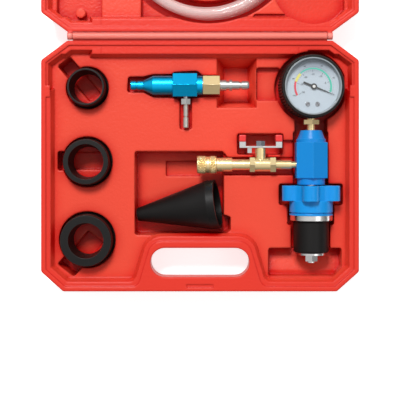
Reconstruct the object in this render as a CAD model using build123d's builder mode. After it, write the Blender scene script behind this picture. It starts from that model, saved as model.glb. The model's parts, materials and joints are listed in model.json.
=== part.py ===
# Coolant refill kit in a red blow-moulded case, opened flat.
# X runs right, Y away from the front of the base, Z up. The hinge line is at Y = 0 and the
# open lid lies towards +Y. All sizes are in millimetres.

import os
from math import atan, cos, pi, radians, sin, sqrt, tan

from build123d import *

os.makedirs("parts", exist_ok=True)

# Shared fits and allowances
rest_gap = 0.15
run_gap = 0.05
overrun = 1.0

# Case halves
half_width = 165.0
front_edge = 265.0
back_edge = 4.6
rear_chamfer_x = 27.5
rear_chamfer_y = 20.2
front_chamfer_x = 23.0
front_chamfer_y = 20.5
corner_round = 4.0
rim_top = 42.0
flange_height = 6.0
flange_lip = 3.0
bottom_round = 4.0
shell_wall = 2.4
deck_top = 33.0
deck_side = 13.5
rim_land = 4.8
rim_step = 4.4
rim_step_depth = 1.0
basin_draft = 22.0
ridge_side = 63.0
ridge_width = 4.1
ridge_notch = 1.2
ridge_block = 8.4
ridge_block_grow = 2.0
wide_band = 57.0
wide_band_grow = 2.6
pocket_draft = 3.0
finger_draft = 18.0
pocket_round = 2.6
nub_length = 12.0
nub_back = 51.0

# Carrying handle in both halves
arch_half = 53.4
arch_foot_half = 70.5
arch_round = 19.0
arch_foot_round = 9.0
arch_margin = 11.4
handle_half = 51.4
handle_width = 30.1
handle_margin = 15.0
grip_bottom = 21.0
relief_half = 60.0
relief_margin = 5.9
rim_bar_half = 14.0
rim_bar_margin = 7.8
rim_bar_width = 3.4
rim_bar_depth = 0.6

# Hinge
hinge_height = 42.15
barrel_radius = 3.8
rod_radius = 1.5
lug_gap = 0.3
lug_length = 5.1
hinge_margin = 0.1
web_bottom = 38.5
web_reach = 2.6

# Latches on the lid
latch_side = 70.0
latch_half = 15.0
ear_gap = 0.3
ear_width = 5.0
ear_reach = 4.2
ear_rise = 2.3
ear_root = 2.0
pin_reach = 1.9
pin_height = 38.0
pin_radius = 1.0
latch_thick = 2.4
latch_barrel = 1.8
latch_hook_top = 10.5
latch_hook_bottom = 12.5
latch_hook_reach = 4.2

# Base pockets: floor heights, then corner points at the deck, measured from the tool they hold
ring_seat_floor = 20.0
ring_notch_floor = 11.0
ring_seat_margin = 1.4
venturi_floor = 21.9
barb_floor = 28.0
finger_floor = 8.0
link_floor = 26.0
gauge_floor = 16.5
gauge_well_radius = 37.5
cone_floor = 9.2
cone_deep_floor = 5.6
valve_floor = 26.3
bonnet_floor = 30.0
handle_floor = 11.5
shelf_floor = 28.0
body_floor = 17.0
knob_floor = 4.2
skirt_floor = 13.3
expander_floor = 16.4
end_floor = 20.0
end_dip = 6.0
end_dip_run = 24.0
notch_small = ((-31.8, 22.9), (-18.2, 33.4), (14.3, -4.3), (0.6, -14.8))
notch_medium = ((-31.3, 11.4), (17.4, 11.4), (17.4, -9.1), (-31.3, -9.1))
notch_large = ((-31.8, -25.5), (-0.7, 9.8), (17.1, -3.9), (-14.0, -39.2))
venturi_pocket = (
    (-75.5, 9.6), (-59.5, 9.6), (-49.0, 12.1), (-30.0, 12.1), (-27.0, 14.4), (-3.5, 15.8),
    (3.0, 11.1), (53.5, 11.1), (53.5, -11.9), (2.0, -11.9), (-21.0, -15.4), (-29.0, -12.9),
    (-49.0, -12.2), (-59.5, -7.2), (-76.5, -7.2),
)
barb_slot = ((-21.5, -7.4), (-8.5, -7.4), (-8.5, -45.9), (-21.5, -45.9))
finger_pocket = ((17.5, 28.8), (59.5, 28.8), (59.5, -23.4), (17.5, -23.4))
link_pocket = ((-57.0, 21.3), (-32.0, 21.3), (-32.0, -13.7), (-57.0, -13.7))
gauge_neck = ((-17.0, -27.2), (17.5, -27.2), (17.5, -47.2), (-17.0, -47.2))
cone_pocket = (
    (-86.8, 55.2), (7.0, 55.2), (7.0, -11.2), (14.0, -13.7),
    (14.0, -27.7), (7.0, -32.9), (-86.8, -32.9),
)
saddle_back = 9.0
saddle_length = 4.0
saddle_width = 8.0
saddle_rise = 5.1
cone_deep_pocket = ((-56.1, 46.1), (-16.8, 46.1), (-16.8, 27.2), (-56.1, 27.2))
valve_pocket = (
    (-122.5, 12.5), (-90.0, 12.5), (-87.0, 8.1), (-12.0, 8.1), (-12.0, -11.3), (-122.5, -11.3),
)
handle_pocket = ((-77.2, 32.9), (-28.4, 32.9), (-28.4, 10.5), (-77.2, 10.5))
bonnet_slot = ((-60.5, 13.5), (-45.0, 13.5), (-45.0, 5.5), (-60.5, 5.5))
shelf_pocket = ((-32.0, 26.0), (-17.0, 26.0), (-17.0, 6.0), (-32.0, 6.0))
body_pocket = ((-18.6, -45.2), (18.6, -45.2), (18.6, -102.2), (-18.6, -102.2))
knob_pocket = ((-33.5, -100.4), (33.8, -100.4), (33.8, -123.2), (-33.5, -123.2))
skirt_pocket = ((-24.5, -119.2), (24.5, -119.2), (24.5, -144.2), (-24.5, -144.2))
expander_pocket = ((-21.0, -141.2), (20.5, -141.2), (20.5, -174.0), (-21.0, -174.0))
end_pocket = ((-44.5, -167.7), (32.5, -167.7), (32.5, -187.2), (25.0, -197.7), (-44.5, -197.7))

# Lid pockets, measured from the tool that they clear when the lid is shut
lid_small_floor = 24.0
lid_venturi_floor = 22.0
lid_gauge_floor = 22.0
lid_gauge_shift = 2.0
lid_gauge_radius = 42.0
lid_body_floor = 27.0
lid_knob_floor = 14.0
lid_skirt_floor = 23.0
lid_expander_floor = 27.0
lid_hat_floor = 25.0
lid_slot_floor = 27.0
lid_panel_floor = 30.5
lid_boss_x = -7.0
lid_boss_y = -27.5
lid_boss_radius = 5.0
lid_small_pocket = ((-32.0, -35.4), (15.3, -35.4), (15.3, 25.0), (-32.0, 25.0))
lid_medium_pocket = ((-30.0, -27.5), (15.0, -27.5), (15.0, 27.5), (-30.0, 27.5))
lid_large_pocket = ((-31.0, -30.0), (18.0, -30.0), (18.0, 29.0), (-31.0, 29.0))
lid_venturi_pocket = ((-62.0, -33.5), (-22.0, -33.5), (-22.0, -6.6), (-62.0, -6.6))
lid_panel = ((-60.0, -42.8), (-18.0, -42.8), (-18.0, -28.3), (-60.0, -28.3))
lid_slot = ((34.5, 14.0), (52.5, 14.0), (52.5, 20.5), (34.5, 20.5))
lid_hat = ((-15.4, -36.8), (28.6, -36.8), (28.6, -21.8), (21.0, -12.8), (1.0, -12.8), (-15.4, -21.8))
lid_body_pocket = ((-19.5, 31.2), (19.5, 31.2), (19.5, 103.2), (-19.5, 103.2))
lid_knob_pocket = ((-34.0, 98.7), (34.0, 98.7), (34.0, 123.7), (-34.0, 123.7))
lid_skirt_pocket = ((-25.0, 122.2), (25.0, 122.2), (25.0, 143.2), (-25.0, 143.2))
lid_expander_pocket = ((-21.0, 142.2), (21.0, 142.2), (21.0, 185.2), (-21.0, 185.2))

# Fill hose and its ring recess in the lid
hose_radius = 6.0
hose_wall = 2.0
coil_x = 8.3
coil_y = 113.1
coil_outer = 92.5
coil_inner = 79.5
coil_layer_step = 12.6
coil_start_angle = 90.0
coil_quarters = 4
recess_floor = 2.5
recess_outer = 99.7
recess_inner = 72.4
spool_top = 19.0

# Tools lie on one axis height
axis_height = 36.0

# Rubber neck adapters
adapter_side = 47.0
adapter_bottom = 20.2
adapter_height = 28.0
adapter_flange = 3.0
adapter_lip = 1.6
small_y = -53.0
small_radius = 19.6
medium_y = -130.5
medium_radius = 23.7
large_y = -212.0
large_radius = 26.8
adapter_bore_top = 18.4
adapter_bore_bottom = 16.0
small_bore_top = 17.4
small_bore_bottom = 15.2

# Cone adapter
cone_mouth_x = 18.2
cone_mouth_y = -174.3
cone_heading = 8.1
cone_tilt = 9.5
cone_length = 85.9
cone_small_radius = 6.8
cone_wide_radius = 25.7
cone_band = 8.0
cone_bore_radius = 4.0
cone_wall = 3.2
cone_web = 18.0

# Venturi, laid along X
venturi_y = -50.6
tip_x = -72.6
tip_length = 13.1
tip_radius = 4.7
tip_groove = 0.8
tip_groove_width = 1.6
cone_nose_x = -59.5
nose_end_x = -49.1
barrel_end_x = -28.7
venturi_radius = 9.9
venturi_hex = 24.0
venturi_hex_x = -28.2
venturi_hex_end_x = -3.1
collar_radius = 10.0
collar_end_x = 2.6
brass_hex = 19.0
brass_hex_x = 3.1
brass_hex_end_x = 20.4
brass_neck_radius = 7.0
plug_x = 20.9
plug_end_x = 51.2
plug_steps = (
    (20.9, 5.6), (27.2, 5.6), (27.2, 4.6), (30.6, 4.6), (30.6, 5.85), (33.4, 5.85), (33.4, 4.55),
    (41.0, 4.55), (41.0, 3.6), (43.4, 3.6), (43.4, 4.55), (49.4, 4.55), (51.2, 3.6),
)
plug_bore_radius = 2.2
venturi_bore_radius = 3.0
side_barb_x = -14.8
side_nut_y = -64.8
side_nut_end_y = -70.6
side_nut_across = 9.4
side_tube_end_y = -95.1
side_tube_radius = 2.7
side_tip_radius = 3.0
side_barb_bore = 1.5
side_groove_y = -83.5
side_groove_width = 1.4
side_groove_depth = 0.6

# Gauge, leaning a little to the right
gauge_y = -52.8
gauge_front = 57.0
gauge_lean = 3.8
boot_radius = 31.5
boot_depth = 37.0
boot_back_wall = 3.0
boot_back_round = 6.0
can_radius = 29.4
can_wall = 1.5
bezel_depth = 4.0
bezel_width = 1.2
lens_thick = 2.0
lens_drop = 1.0
dial_drop = 7.0
dial_thick = 0.8
hub_x = 1.4
hub_y = -0.2
needle_thick = 0.6
needle_lift = 1.4
needle_tip = 22.4
needle_tail = 11.7
needle_half = 0.9
needle_angle = -21.4
hub_radius = 3.1
hub_pin_radius = 1.0
screw_radius = 2.35
screw_height = 1.0
screw_left_x = -4.9
screw_right_x = 5.4
screw_y = -18.2
stem_radius = 5.0
stem_root = 4.0

# Filler head, laid along -Y, with distances from the gauge's centre
head_side = 49.0
head_hex_start = 34.0
head_hex_end = 38.7
head_hex_across = 15.7
head_neck_radius = 4.5
head_neck_end = 45.0
taper_start_radius = 11.0
taper_end_radius = 14.35
taper_end = 53.8
ring_radius = 15.4
ring_end = 57.5
body_hex_across = 32.0
body_hex_end = 94.6
body_collar_radius = 14.5
body_collar_end = 101.4
knob_start = 102.4
knob_end = 118.1
knob_hub_radius = 21.0
lobe_radius = 8.6
lobe_centre = 22.4
lobe_count = 5
lobe_angle = -46.0
knob_blend = 6.0
skirt_radius = 22.5
skirt_end = 133.2
skirt_groove_depth = 1.2
skirt_groove_width = 1.6
washer_radius = 22.2
washer_end = 138.4
expander_radius = 18.3
expander_end = 172.3
expander_round = 2.5
end_washer_radius = 15.65
end_washer_end = 174.4
end_nut_across = 12.5
end_nut_end = 181.3
centre_tube_radius = 5.0
centre_bore_radius = 3.2
centre_tube_start = 89.2
centre_tube_proud = 1.4

# Valve and coupler, laid along X, with distances from the head's axis
valve_y = -133.5
sleeve_x = -119.1
sleeve_end_x = -98.8
sleeve_radius = 9.4
sleeve_groove_x = -109.2
sleeve_groove_end_x = -106.1
sleeve_groove_depth = 0.9
sleeve_lip_x = -105.4
coupler_radius = 7.3
coupler_mouth_x = -117.0
coupler_shoulder_x = -101.8
coupler_end_x = -82.6
coupler_core_radius = 6.6
coupler_bore_radius = 4.6
neck_radius = 5.75
neck_end_x = -64.3
valve_hex_across = 15.0
first_hex_end_x = -59.1
valve_body_radius = 7.3
valve_body_end_x = -42.9
second_hex_end_x = -37.1
nipple_radius = 4.95
nipple_end_x = -20.9
nipple_thin_radius = 3.4
nipple_tip_x = -15.7
bonnet_x = -52.8
bonnet_radius = 5.5
bonnet_end_y = -116.1
ball_radius = 5.4
ball_seat_y = 4.4
valve_bore_radius = 2.6
stem_rod_radius = 2.2
handle_back_y = -115.9
handle_thick = 1.8
handle_x = -74.9
handle_end_x = -30.7
handle_half_height = 5.5
tab_thick = 6.4
tab_end_y = -103.4
grip_start_y = -109.7
grip_end_y = -102.4
grip_half = 3.6
grip_half_height = 6.5
grip_round = 1.2
handle_nut_across = 9.0
handle_nut_end_y = -108.7
stop_tab_x = -66.2
stop_tab_end_x = -61.8
stop_tab_end_y = -121.2
stop_tab_half = 1.0
head_bore_end = 59.2
gauge_port_radius = 2.0

# Places that follow from the sizes above
deck_half = half_width - deck_side
handle_front = front_edge - handle_margin
handle_back = handle_front - handle_width
arch_back = handle_back - arch_margin
tube_end = end_nut_end + centre_tube_proud
relief_back = handle_back - relief_margin
lug_end = half_width - rear_chamfer_x - hinge_margin
barrel_half = lug_end - lug_length - lug_gap
latch_x = half_width - latch_side
pin_y = front_edge + pin_reach
adapter_x = adapter_side - half_width
head_x = half_width - head_side
gauge_x = head_x
gauge_at = (gauge_x, gauge_y)
valve_at = (head_x, valve_y)
venturi_at = (0, venturi_y)
cone_at = (cone_mouth_x, cone_mouth_y)
small_at = (adapter_x, small_y)
medium_at = (adapter_x, medium_y)
large_at = (adapter_x, large_y)


def turned(plane, points, mode=Mode.ADD):
    """Turn a half profile of (along, radius) points about the plane's X direction."""
    with BuildSketch(plane) as profile:
        with BuildLine():
            Polyline(*points, close=True)
        make_face()
    revolve(profile.sketch, axis=Axis(plane.origin, plane.x_dir), mode=mode)


def rod_x(at, start, end, radius, mode=Mode.ADD):
    """A round bar along X from a tool's place, at the tools' axis height."""
    origin = (at[0] + start, at[1], axis_height)
    with BuildSketch(Plane(origin=origin, x_dir=(0, 1, 0), z_dir=(1, 0, 0))) as end_face:
        Circle(radius)
    extrude(end_face.sketch, amount=end - start, mode=mode)


def rod_y(x, start, end, radius, height=axis_height, mode=Mode.ADD):
    """A round bar along Y from start to end."""
    with BuildSketch(Plane(origin=(x, start, height), x_dir=(1, 0, 0), z_dir=(0, 1, 0))) as end_face:
        Circle(radius)
    extrude(end_face.sketch, amount=end - start, mode=mode)


def hex_x(at, start, end, across, mode=Mode.ADD):
    """A hexagon bar along X with one corner up."""
    origin = (at[0] + start, at[1], axis_height)
    with BuildSketch(Plane(origin=origin, x_dir=(0, 0, 1), z_dir=(1, 0, 0))) as end_face:
        RegularPolygon(radius=across / 2, side_count=6, major_radius=False)
    extrude(end_face.sketch, amount=end - start, mode=mode)


def hex_y(x, start, end, across, mode=Mode.ADD):
    """A hexagon bar along Y with one corner up."""
    with BuildSketch(Plane(origin=(x, start, axis_height), x_dir=(0, 0, 1), z_dir=(0, 1, 0))) as end_face:
        RegularPolygon(radius=across / 2, side_count=6, major_radius=False)
    extrude(end_face.sketch, amount=end - start, mode=mode)


def head_rod(start, end, radius, mode=Mode.ADD):
    """A round bar along the head's axis, measured from the gauge's centre."""
    rod_y(head_x, gauge_y - end, gauge_y - start, radius, mode=mode)


def head_hex(start, end, across, mode=Mode.ADD):
    """A hexagon bar along the head's axis, measured from the gauge's centre."""
    hex_y(head_x, gauge_y - end, gauge_y - start, across, mode)


def block(low, high, mode=Mode.ADD):
    """A box between two corner points."""
    with BuildSketch(Plane(origin=(low[0], low[1], low[2]))) as foot:
        Rectangle(high[0] - low[0], high[1] - low[1], align=(Align.MIN, Align.MIN))
    extrude(foot.sketch, amount=high[2] - low[2], mode=mode)


def case_outline(side, height, inset):
    """The eight-cornered outline of a case half; side is -1 for the base and 1 for the lid."""
    back, front = side * back_edge, side * front_edge
    with BuildSketch(Plane.XY.offset(height)) as outline:
        with BuildLine():
            Polyline(
                (half_width - rear_chamfer_x, back),
                (half_width, back + side * rear_chamfer_y),
                (half_width, front - side * front_chamfer_y),
                (half_width - front_chamfer_x, front),
                (front_chamfer_x - half_width, front),
                (-half_width, front - side * front_chamfer_y),
                (-half_width, back + side * rear_chamfer_y),
                (rear_chamfer_x - half_width, back),
                close=True,
            )
        make_face()
        fillet(outline.vertices(), corner_round)
        if inset:
            offset(amount=-inset, kind=Kind.INTERSECTION)
    return outline.sketch


def placed(points, at, side=-1):
    """Corner points moved to a tool's place; side 1 mirrors the place into the lid."""
    return tuple((at[0] + x, -side * at[1] + y) for x, y in points)


def arch_outline(side, inset):
    """The raised land round the carrying handle, with its two upper corners rounded."""
    with BuildSketch(Plane.XY) as arch:
        with BuildLine():
            Polyline(
                (-arch_foot_half, side * (front_edge + overrun)),
                (-arch_half, side * arch_back),
                (arch_half, side * arch_back),
                (arch_foot_half, side * (front_edge + overrun)),
                close=True,
            )
        make_face()
        fillet([v for v in arch.vertices() if abs(v.Y) < arch_back + overrun], arch_round)
        if inset:
            offset(amount=-inset)
    return arch.sketch


def basin_mouth(side, inset, arch_inset):
    """The outline of the sunk deck at a distance inside the rim, with rounded feet of the arch."""
    with BuildSketch(Plane.XY) as mouth:
        add(case_outline(side, 0, inset))
        add(arch_outline(side, arch_inset), mode=Mode.SUBTRACT)
        feet = [
            v for v in mouth.vertices()
            if abs(v.Y) > handle_front and abs(v.X) < arch_foot_half + overrun
        ]
        fillet(feet, arch_foot_round)
    return mouth.sketch


def basin(side):
    """Cut the sunk deck inside the rim, leaving the handle arch at rim height."""
    with BuildSketch(Plane.XY.offset(rim_top)) as step_mouth:
        add(basin_mouth(side, rim_land, rim_step))
    extrude(step_mouth.sketch, amount=-rim_step_depth, mode=Mode.SUBTRACT)
    inner = rim_land + rim_step
    ridge_y = side * (back_edge + inner + ridge_width / 2)
    ridge_half = half_width - ridge_side
    with BuildSketch(Plane.XY.offset(rim_top)) as mouth:
        add(basin_mouth(side, inner, 0))
        with Locations((0, ridge_y)):
            Rectangle(2 * ridge_half, ridge_width, mode=Mode.SUBTRACT)
        block_x = ridge_half + (ridge_notch + ridge_block) / 2
        with Locations((-block_x, ridge_y), (block_x, ridge_y)):
            Rectangle(ridge_notch + ridge_block, ridge_width + ridge_block_grow, mode=Mode.SUBTRACT)
    extrude(mouth.sketch, amount=deck_top - rim_top, taper=basin_draft, mode=Mode.SUBTRACT)
    # The part next to the hinge is a little wider
    with BuildSketch(Plane.XY.offset(rim_top)) as wide:
        add(case_outline(side, 0, inner - wide_band_grow))
        with Locations((0, side * wide_band / 2)):
            Rectangle(2 * half_width, wide_band, mode=Mode.INTERSECT)
        with Locations((0, ridge_y - side * wide_band_grow)):
            Rectangle(2 * deck_half, ridge_width + 2 * wide_band_grow, mode=Mode.SUBTRACT)
    extrude(wide.sketch, amount=deck_top - rim_top, taper=basin_draft, mode=Mode.SUBTRACT)
    # Notches that part the ridge from its end blocks
    for notch_x in (-ridge_half - ridge_notch, ridge_half):
        block(
            (notch_x, ridge_y - ridge_width, rim_top - ridge_notch),
            (notch_x + ridge_notch, ridge_y + ridge_width, rim_top + overrun),
            mode=Mode.SUBTRACT,
        )


def sink(points, floor, grow=0.0, draft=pocket_draft):
    """A drafted pocket from the deck down; grow widens and deepens it for the hollow."""
    with BuildSketch(Plane.XY.offset(deck_top)) as mouth:
        with BuildLine():
            Polyline(*points, close=True)
        make_face()
        if grow:
            offset(amount=grow, kind=Kind.INTERSECTION)
        elif draft == pocket_draft:
            # Round the outward corners
            offset(amount=-pocket_round, kind=Kind.INTERSECTION)
            offset(amount=pocket_round, kind=Kind.ARC)
    extrude(mouth.sketch, amount=-(deck_top - floor + grow), taper=draft, mode=Mode.SUBTRACT)


def well(at, radius, floor, grow=0.0, top=rim_top, mode=Mode.SUBTRACT):
    """A round pocket, or a round boss, between two heights."""
    with BuildSketch(Plane.XY.offset(floor - grow)) as round_floor:
        with Locations(at):
            Circle(radius + grow)
        with Locations((0, at[1])):
            Rectangle(2 * (deck_half + grow), 2 * (radius + grow), mode=Mode.INTERSECT)
    extrude(round_floor.sketch, amount=top - floor + grow, mode=mode)


def end_slope(grow=0.0):
    """The sloping floor of the end pocket, deepest beside the expander."""
    left, right = head_x + end_pocket[0][0], head_x + end_pocket[1][0]
    back = gauge_y + end_pocket[0][1] + grow
    inset = (deck_top - end_floor) * tan(radians(pocket_draft))
    with BuildSketch(Plane(origin=(left + inset - grow, 0, 0), x_dir=(0, 1, 0), z_dir=(1, 0, 0))) as wedge:
        with BuildLine():
            Polyline(
                (back - inset, end_floor + overrun), (back - inset, end_floor - end_dip - grow),
                (back - inset - end_dip_run - 2 * grow, end_floor - grow),
                (back - inset - end_dip_run - 2 * grow, end_floor + overrun), close=True,
            )
        make_face()
    extrude(wedge.sketch, amount=right - left - 2 * inset + 2 * grow, mode=Mode.SUBTRACT)


def handle_cuts(side, grow=0.0):
    """The hand hole through a half and the finger relief under its bar."""
    with BuildSketch(Plane.XY.offset(-overrun)) as hole:
        with Locations((0, side * (handle_back + handle_front) / 2)):
            SlotOverall(2 * (handle_half + grow), handle_front - handle_back + 2 * grow)
    extrude(hole.sketch, amount=rim_top + 2 * overrun, mode=Mode.SUBTRACT)
    back = side * (relief_back - grow)
    front = side * (front_edge + overrun)
    block(
        (-relief_half - grow, min(back, front), -overrun),
        (relief_half + grow, max(back, front), grip_bottom + grow),
        mode=Mode.SUBTRACT,
    )


base_sinks = (
    (placed(notch_small, small_at), ring_notch_floor, pocket_draft),
    (placed(notch_medium, medium_at), ring_notch_floor, pocket_draft),
    (placed(notch_large, large_at), ring_notch_floor, pocket_draft),
    (placed(venturi_pocket, venturi_at), venturi_floor, pocket_draft),
    (placed(barb_slot, venturi_at), barb_floor, pocket_draft),
    (placed(finger_pocket, venturi_at), finger_floor, finger_draft),
    (placed(link_pocket, gauge_at), link_floor, pocket_draft),
    (placed(gauge_neck, gauge_at), body_floor, pocket_draft),
    (placed(cone_pocket, cone_at), cone_floor, pocket_draft),
    (placed(cone_deep_pocket, cone_at), cone_deep_floor, pocket_draft),
    (placed(valve_pocket, valve_at), valve_floor, pocket_draft),
    (placed(handle_pocket, valve_at), handle_floor, pocket_draft),
    (placed(bonnet_slot, valve_at), bonnet_floor, pocket_draft),
    (placed(shelf_pocket, valve_at), shelf_floor, pocket_draft),
    (placed(body_pocket, gauge_at), body_floor, pocket_draft),
    (placed(knob_pocket, gauge_at), knob_floor, pocket_draft),
    (placed(skirt_pocket, gauge_at), skirt_floor, pocket_draft),
    (placed(expander_pocket, gauge_at), expander_floor, pocket_draft),
    (placed(end_pocket, gauge_at), end_floor, pocket_draft),
)
seat_margin = adapter_lip + ring_seat_margin
base_wells = (
    (small_at, small_radius + seat_margin, ring_seat_floor),
    (medium_at, medium_radius + seat_margin, ring_seat_floor),
    (large_at, large_radius + seat_margin, ring_seat_floor),
    (gauge_at, gauge_well_radius, gauge_floor),
)
lid_sinks = (
    (placed(lid_small_pocket, small_at, 1), lid_small_floor, pocket_draft),
    (placed(lid_medium_pocket, medium_at, 1), lid_small_floor, pocket_draft),
    (placed(lid_large_pocket, large_at, 1), lid_small_floor, pocket_draft),
    (placed(lid_venturi_pocket, venturi_at, 1), lid_venturi_floor, pocket_draft),
    (placed(lid_panel, gauge_at, 1), lid_panel_floor, pocket_draft),
    (lid_slot, lid_slot_floor, pocket_draft),
    (placed(lid_hat, gauge_at, 1), lid_hat_floor, pocket_draft),
    (placed(lid_body_pocket, gauge_at, 1), lid_body_floor, pocket_draft),
    (placed(lid_knob_pocket, gauge_at, 1), lid_knob_floor, pocket_draft),
    (placed(lid_skirt_pocket, gauge_at, 1), lid_skirt_floor, pocket_draft),
    (placed(lid_expander_pocket, gauge_at, 1), lid_expander_floor, pocket_draft),
)
lid_gauge_at = (gauge_x + lid_gauge_shift, lid_gauge_shift - gauge_y)
lid_wells = ((lid_gauge_at, lid_gauge_radius, lid_gauge_floor),)
lid_boss_at = (adapter_x + lid_boss_x, lid_boss_y - small_y)


def half_body(side):
    """The outer skin of a case half: drafted tray under a proud flange."""
    extrude(case_outline(side, 0, flange_lip), amount=rim_top - flange_height)
    fillet(edges().group_by(Axis.Z)[0], bottom_round)
    extrude(case_outline(side, rim_top - flange_height, 0), amount=flange_height)


def half_hollow(side, sinks, wells):
    """The air space between the outer skin and the pockets."""
    hollow_floor = shell_wall
    extrude(
        case_outline(side, hollow_floor, flange_lip + 2 * shell_wall),
        amount=deck_top - 2 * shell_wall,
    )
    for points, floor, draft in sinks:
        sink(points, floor, shell_wall, draft)
    for at, radius, floor in wells:
        well(at, radius, floor, shell_wall)
    handle_cuts(side, shell_wall)


with BuildPart() as base_hollow:
    half_hollow(-1, base_sinks, base_wells)
    end_slope(shell_wall)

with BuildPart() as case_base:
    half_body(-1)
    basin(-1)
    for points, floor, draft in base_sinks:
        sink(points, floor, 0, draft)
    for at, radius, floor in base_wells:
        well(at, radius, floor)
    end_slope()
    handle_cuts(-1)
    add(base_hollow.part, mode=Mode.SUBTRACT)
    # Saddle under the tip of the cone
    saddle_x = cone_mouth_x - (cone_length - saddle_back) * cos(radians(cone_heading))
    saddle_y = cone_mouth_y - (cone_length - saddle_back) * sin(radians(cone_heading))
    block(
        (saddle_x - saddle_length / 2, saddle_y - saddle_width / 2, cone_floor - shell_wall / 2),
        (saddle_x + saddle_length / 2, saddle_y + saddle_width / 2, cone_floor + saddle_rise),
    )
    # Small nubs on the rim's step, where the deck narrows
    for nub_x in (-half_width + rim_land, half_width - rim_land - rim_step):
        block(
            (nub_x, -nub_back - nub_length, rim_top - rim_step_depth - overrun),
            (nub_x + rim_step, -nub_back, rim_top),
        )
    # Moulded bar in the rim in front of the handle
    block(
        (-rim_bar_half, -handle_front - rim_bar_margin - rim_bar_width, rim_top - rim_bar_depth),
        (rim_bar_half, -handle_front - rim_bar_margin, rim_top + overrun),
        mode=Mode.SUBTRACT,
    )
    # Hinge barrel and its web
    rod_line = Plane(origin=(-barrel_half, 0, hinge_height), x_dir=(0, 1, 0), z_dir=(1, 0, 0))
    with BuildSketch(rod_line) as barrel:
        Circle(barrel_radius)
    extrude(barrel.sketch, amount=2 * barrel_half)
    block((-barrel_half, -back_edge - overrun, web_bottom), (barrel_half, -web_reach, rim_top))
    with BuildSketch(rod_line) as barrel_bore:
        Circle(rod_radius)
    extrude(barrel_bore.sketch, amount=2 * barrel_half, mode=Mode.SUBTRACT)

with BuildPart() as lid_hollow:
    half_hollow(1, lid_sinks, lid_wells)
    with BuildSketch(Plane.XY.offset(recess_floor - shell_wall)) as coil_band:
        with Locations((coil_x, coil_y)):
            Circle(recess_outer + shell_wall)
            Circle(recess_inner - shell_wall, mode=Mode.SUBTRACT)
    extrude(coil_band.sketch, amount=deck_top, mode=Mode.SUBTRACT)
    with BuildSketch(Plane.XY.offset(spool_top - shell_wall)) as over_spool:
        with Locations((coil_x, coil_y)):
            Circle(recess_outer)
    extrude(over_spool.sketch, amount=deck_top, mode=Mode.SUBTRACT)

with BuildPart() as case_lid:
    half_body(1)
    basin(1)
    for points, floor, draft in lid_sinks:
        sink(points, floor, 0, draft)
    for at, radius, floor in lid_wells:
        well(at, radius, floor)
    # Ring recess for the hose round a low spool
    with BuildSketch(Plane.XY.offset(recess_floor)) as coil_ring:
        with Locations((coil_x, coil_y)):
            Circle(recess_outer)
            Circle(recess_inner, mode=Mode.SUBTRACT)
    extrude(coil_ring.sketch, amount=rim_top + overrun - recess_floor, mode=Mode.SUBTRACT)
    with BuildSketch(Plane.XY.offset(spool_top)) as spool_face:
        with Locations((coil_x, coil_y)):
            Circle((recess_outer + recess_inner) / 2)
    extrude(spool_face.sketch, amount=deck_top + overrun - spool_top, mode=Mode.SUBTRACT)
    handle_cuts(1)
    add(lid_hollow.part, mode=Mode.SUBTRACT)
    boss_root = lid_small_floor - shell_wall / 2
    well(lid_boss_at, lid_boss_radius, boss_root, top=deck_top, mode=Mode.ADD)
    # Hinge lugs at both ends of the base's barrel
    for end in (-lug_end, barrel_half + lug_gap):
        lug_line = Plane(origin=(end, 0, hinge_height), x_dir=(0, 1, 0), z_dir=(1, 0, 0))
        with BuildSketch(lug_line) as lug:
            Circle(barrel_radius)
        extrude(lug.sketch, amount=lug_end - barrel_half - lug_gap)
        block(
            (end, web_reach, web_bottom),
            (end + lug_end - barrel_half - lug_gap, back_edge + overrun, rim_top),
        )
        with BuildSketch(lug_line) as lug_bore:
            Circle(rod_radius + run_gap)
        extrude(lug_bore.sketch, amount=lug_end - barrel_half - lug_gap, mode=Mode.SUBTRACT)
    # Ears for the latch pins
    for centre in (-latch_x, latch_x):
        for inner in (centre - latch_half - ear_gap - ear_width, centre + latch_half + ear_gap):
            block(
                (inner, front_edge - ear_root, pin_height - ear_rise),
                (inner + ear_width, front_edge + ear_reach, pin_height + ear_rise),
            )
        ear_half = latch_half + ear_gap + ear_width
        ear_line = Plane(origin=(centre - ear_half, pin_y, pin_height), x_dir=(0, 1, 0), z_dir=(1, 0, 0))
        with BuildSketch(ear_line) as ear_bore:
            Circle(pin_radius)
        extrude(ear_bore.sketch, amount=2 * ear_half, mode=Mode.SUBTRACT)

with BuildPart() as hinge_rod:
    with BuildSketch(Plane(origin=(-lug_end, 0, hinge_height), x_dir=(0, 1, 0), z_dir=(1, 0, 0))) as rod_end:
        Circle(rod_radius)
    extrude(rod_end.sketch, amount=2 * lug_end)


def latch_pin(centre):
    """A steel pin through both ears and the latch's barrel."""
    ear_half = latch_half + ear_gap + ear_width
    line = Plane(origin=(centre - ear_half, pin_y, pin_height), x_dir=(0, 1, 0), z_dir=(1, 0, 0))
    with BuildSketch(line) as pin_end:
        Circle(pin_radius)
    extrude(pin_end.sketch, amount=2 * ear_half)


def latch(centre):
    """A latch plate hanging from its pin, its hook at the free end."""
    line = Plane(origin=(centre - latch_half, pin_y, pin_height), x_dir=(0, 1, 0), z_dir=(1, 0, 0))
    with BuildSketch(line) as eye:
        Circle(latch_barrel)
    extrude(eye.sketch, amount=2 * latch_half)
    block(
        (centre - latch_half, pin_y - latch_thick / 2, pin_height - latch_hook_bottom),
        (centre + latch_half, pin_y + latch_thick / 2, pin_height),
    )
    block(
        (centre - latch_half, pin_y, pin_height - latch_hook_bottom),
        (centre + latch_half, pin_y + latch_hook_reach, pin_height - latch_hook_top),
    )
    with BuildSketch(line) as eye_bore:
        Circle(pin_radius + run_gap)
    extrude(eye_bore.sketch, amount=2 * latch_half, mode=Mode.SUBTRACT)


with BuildPart() as latch_left:
    latch(-latch_x)

with BuildPart() as latch_pin_left:
    latch_pin(-latch_x)

with BuildPart() as latch_right:
    latch(latch_x)

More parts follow.
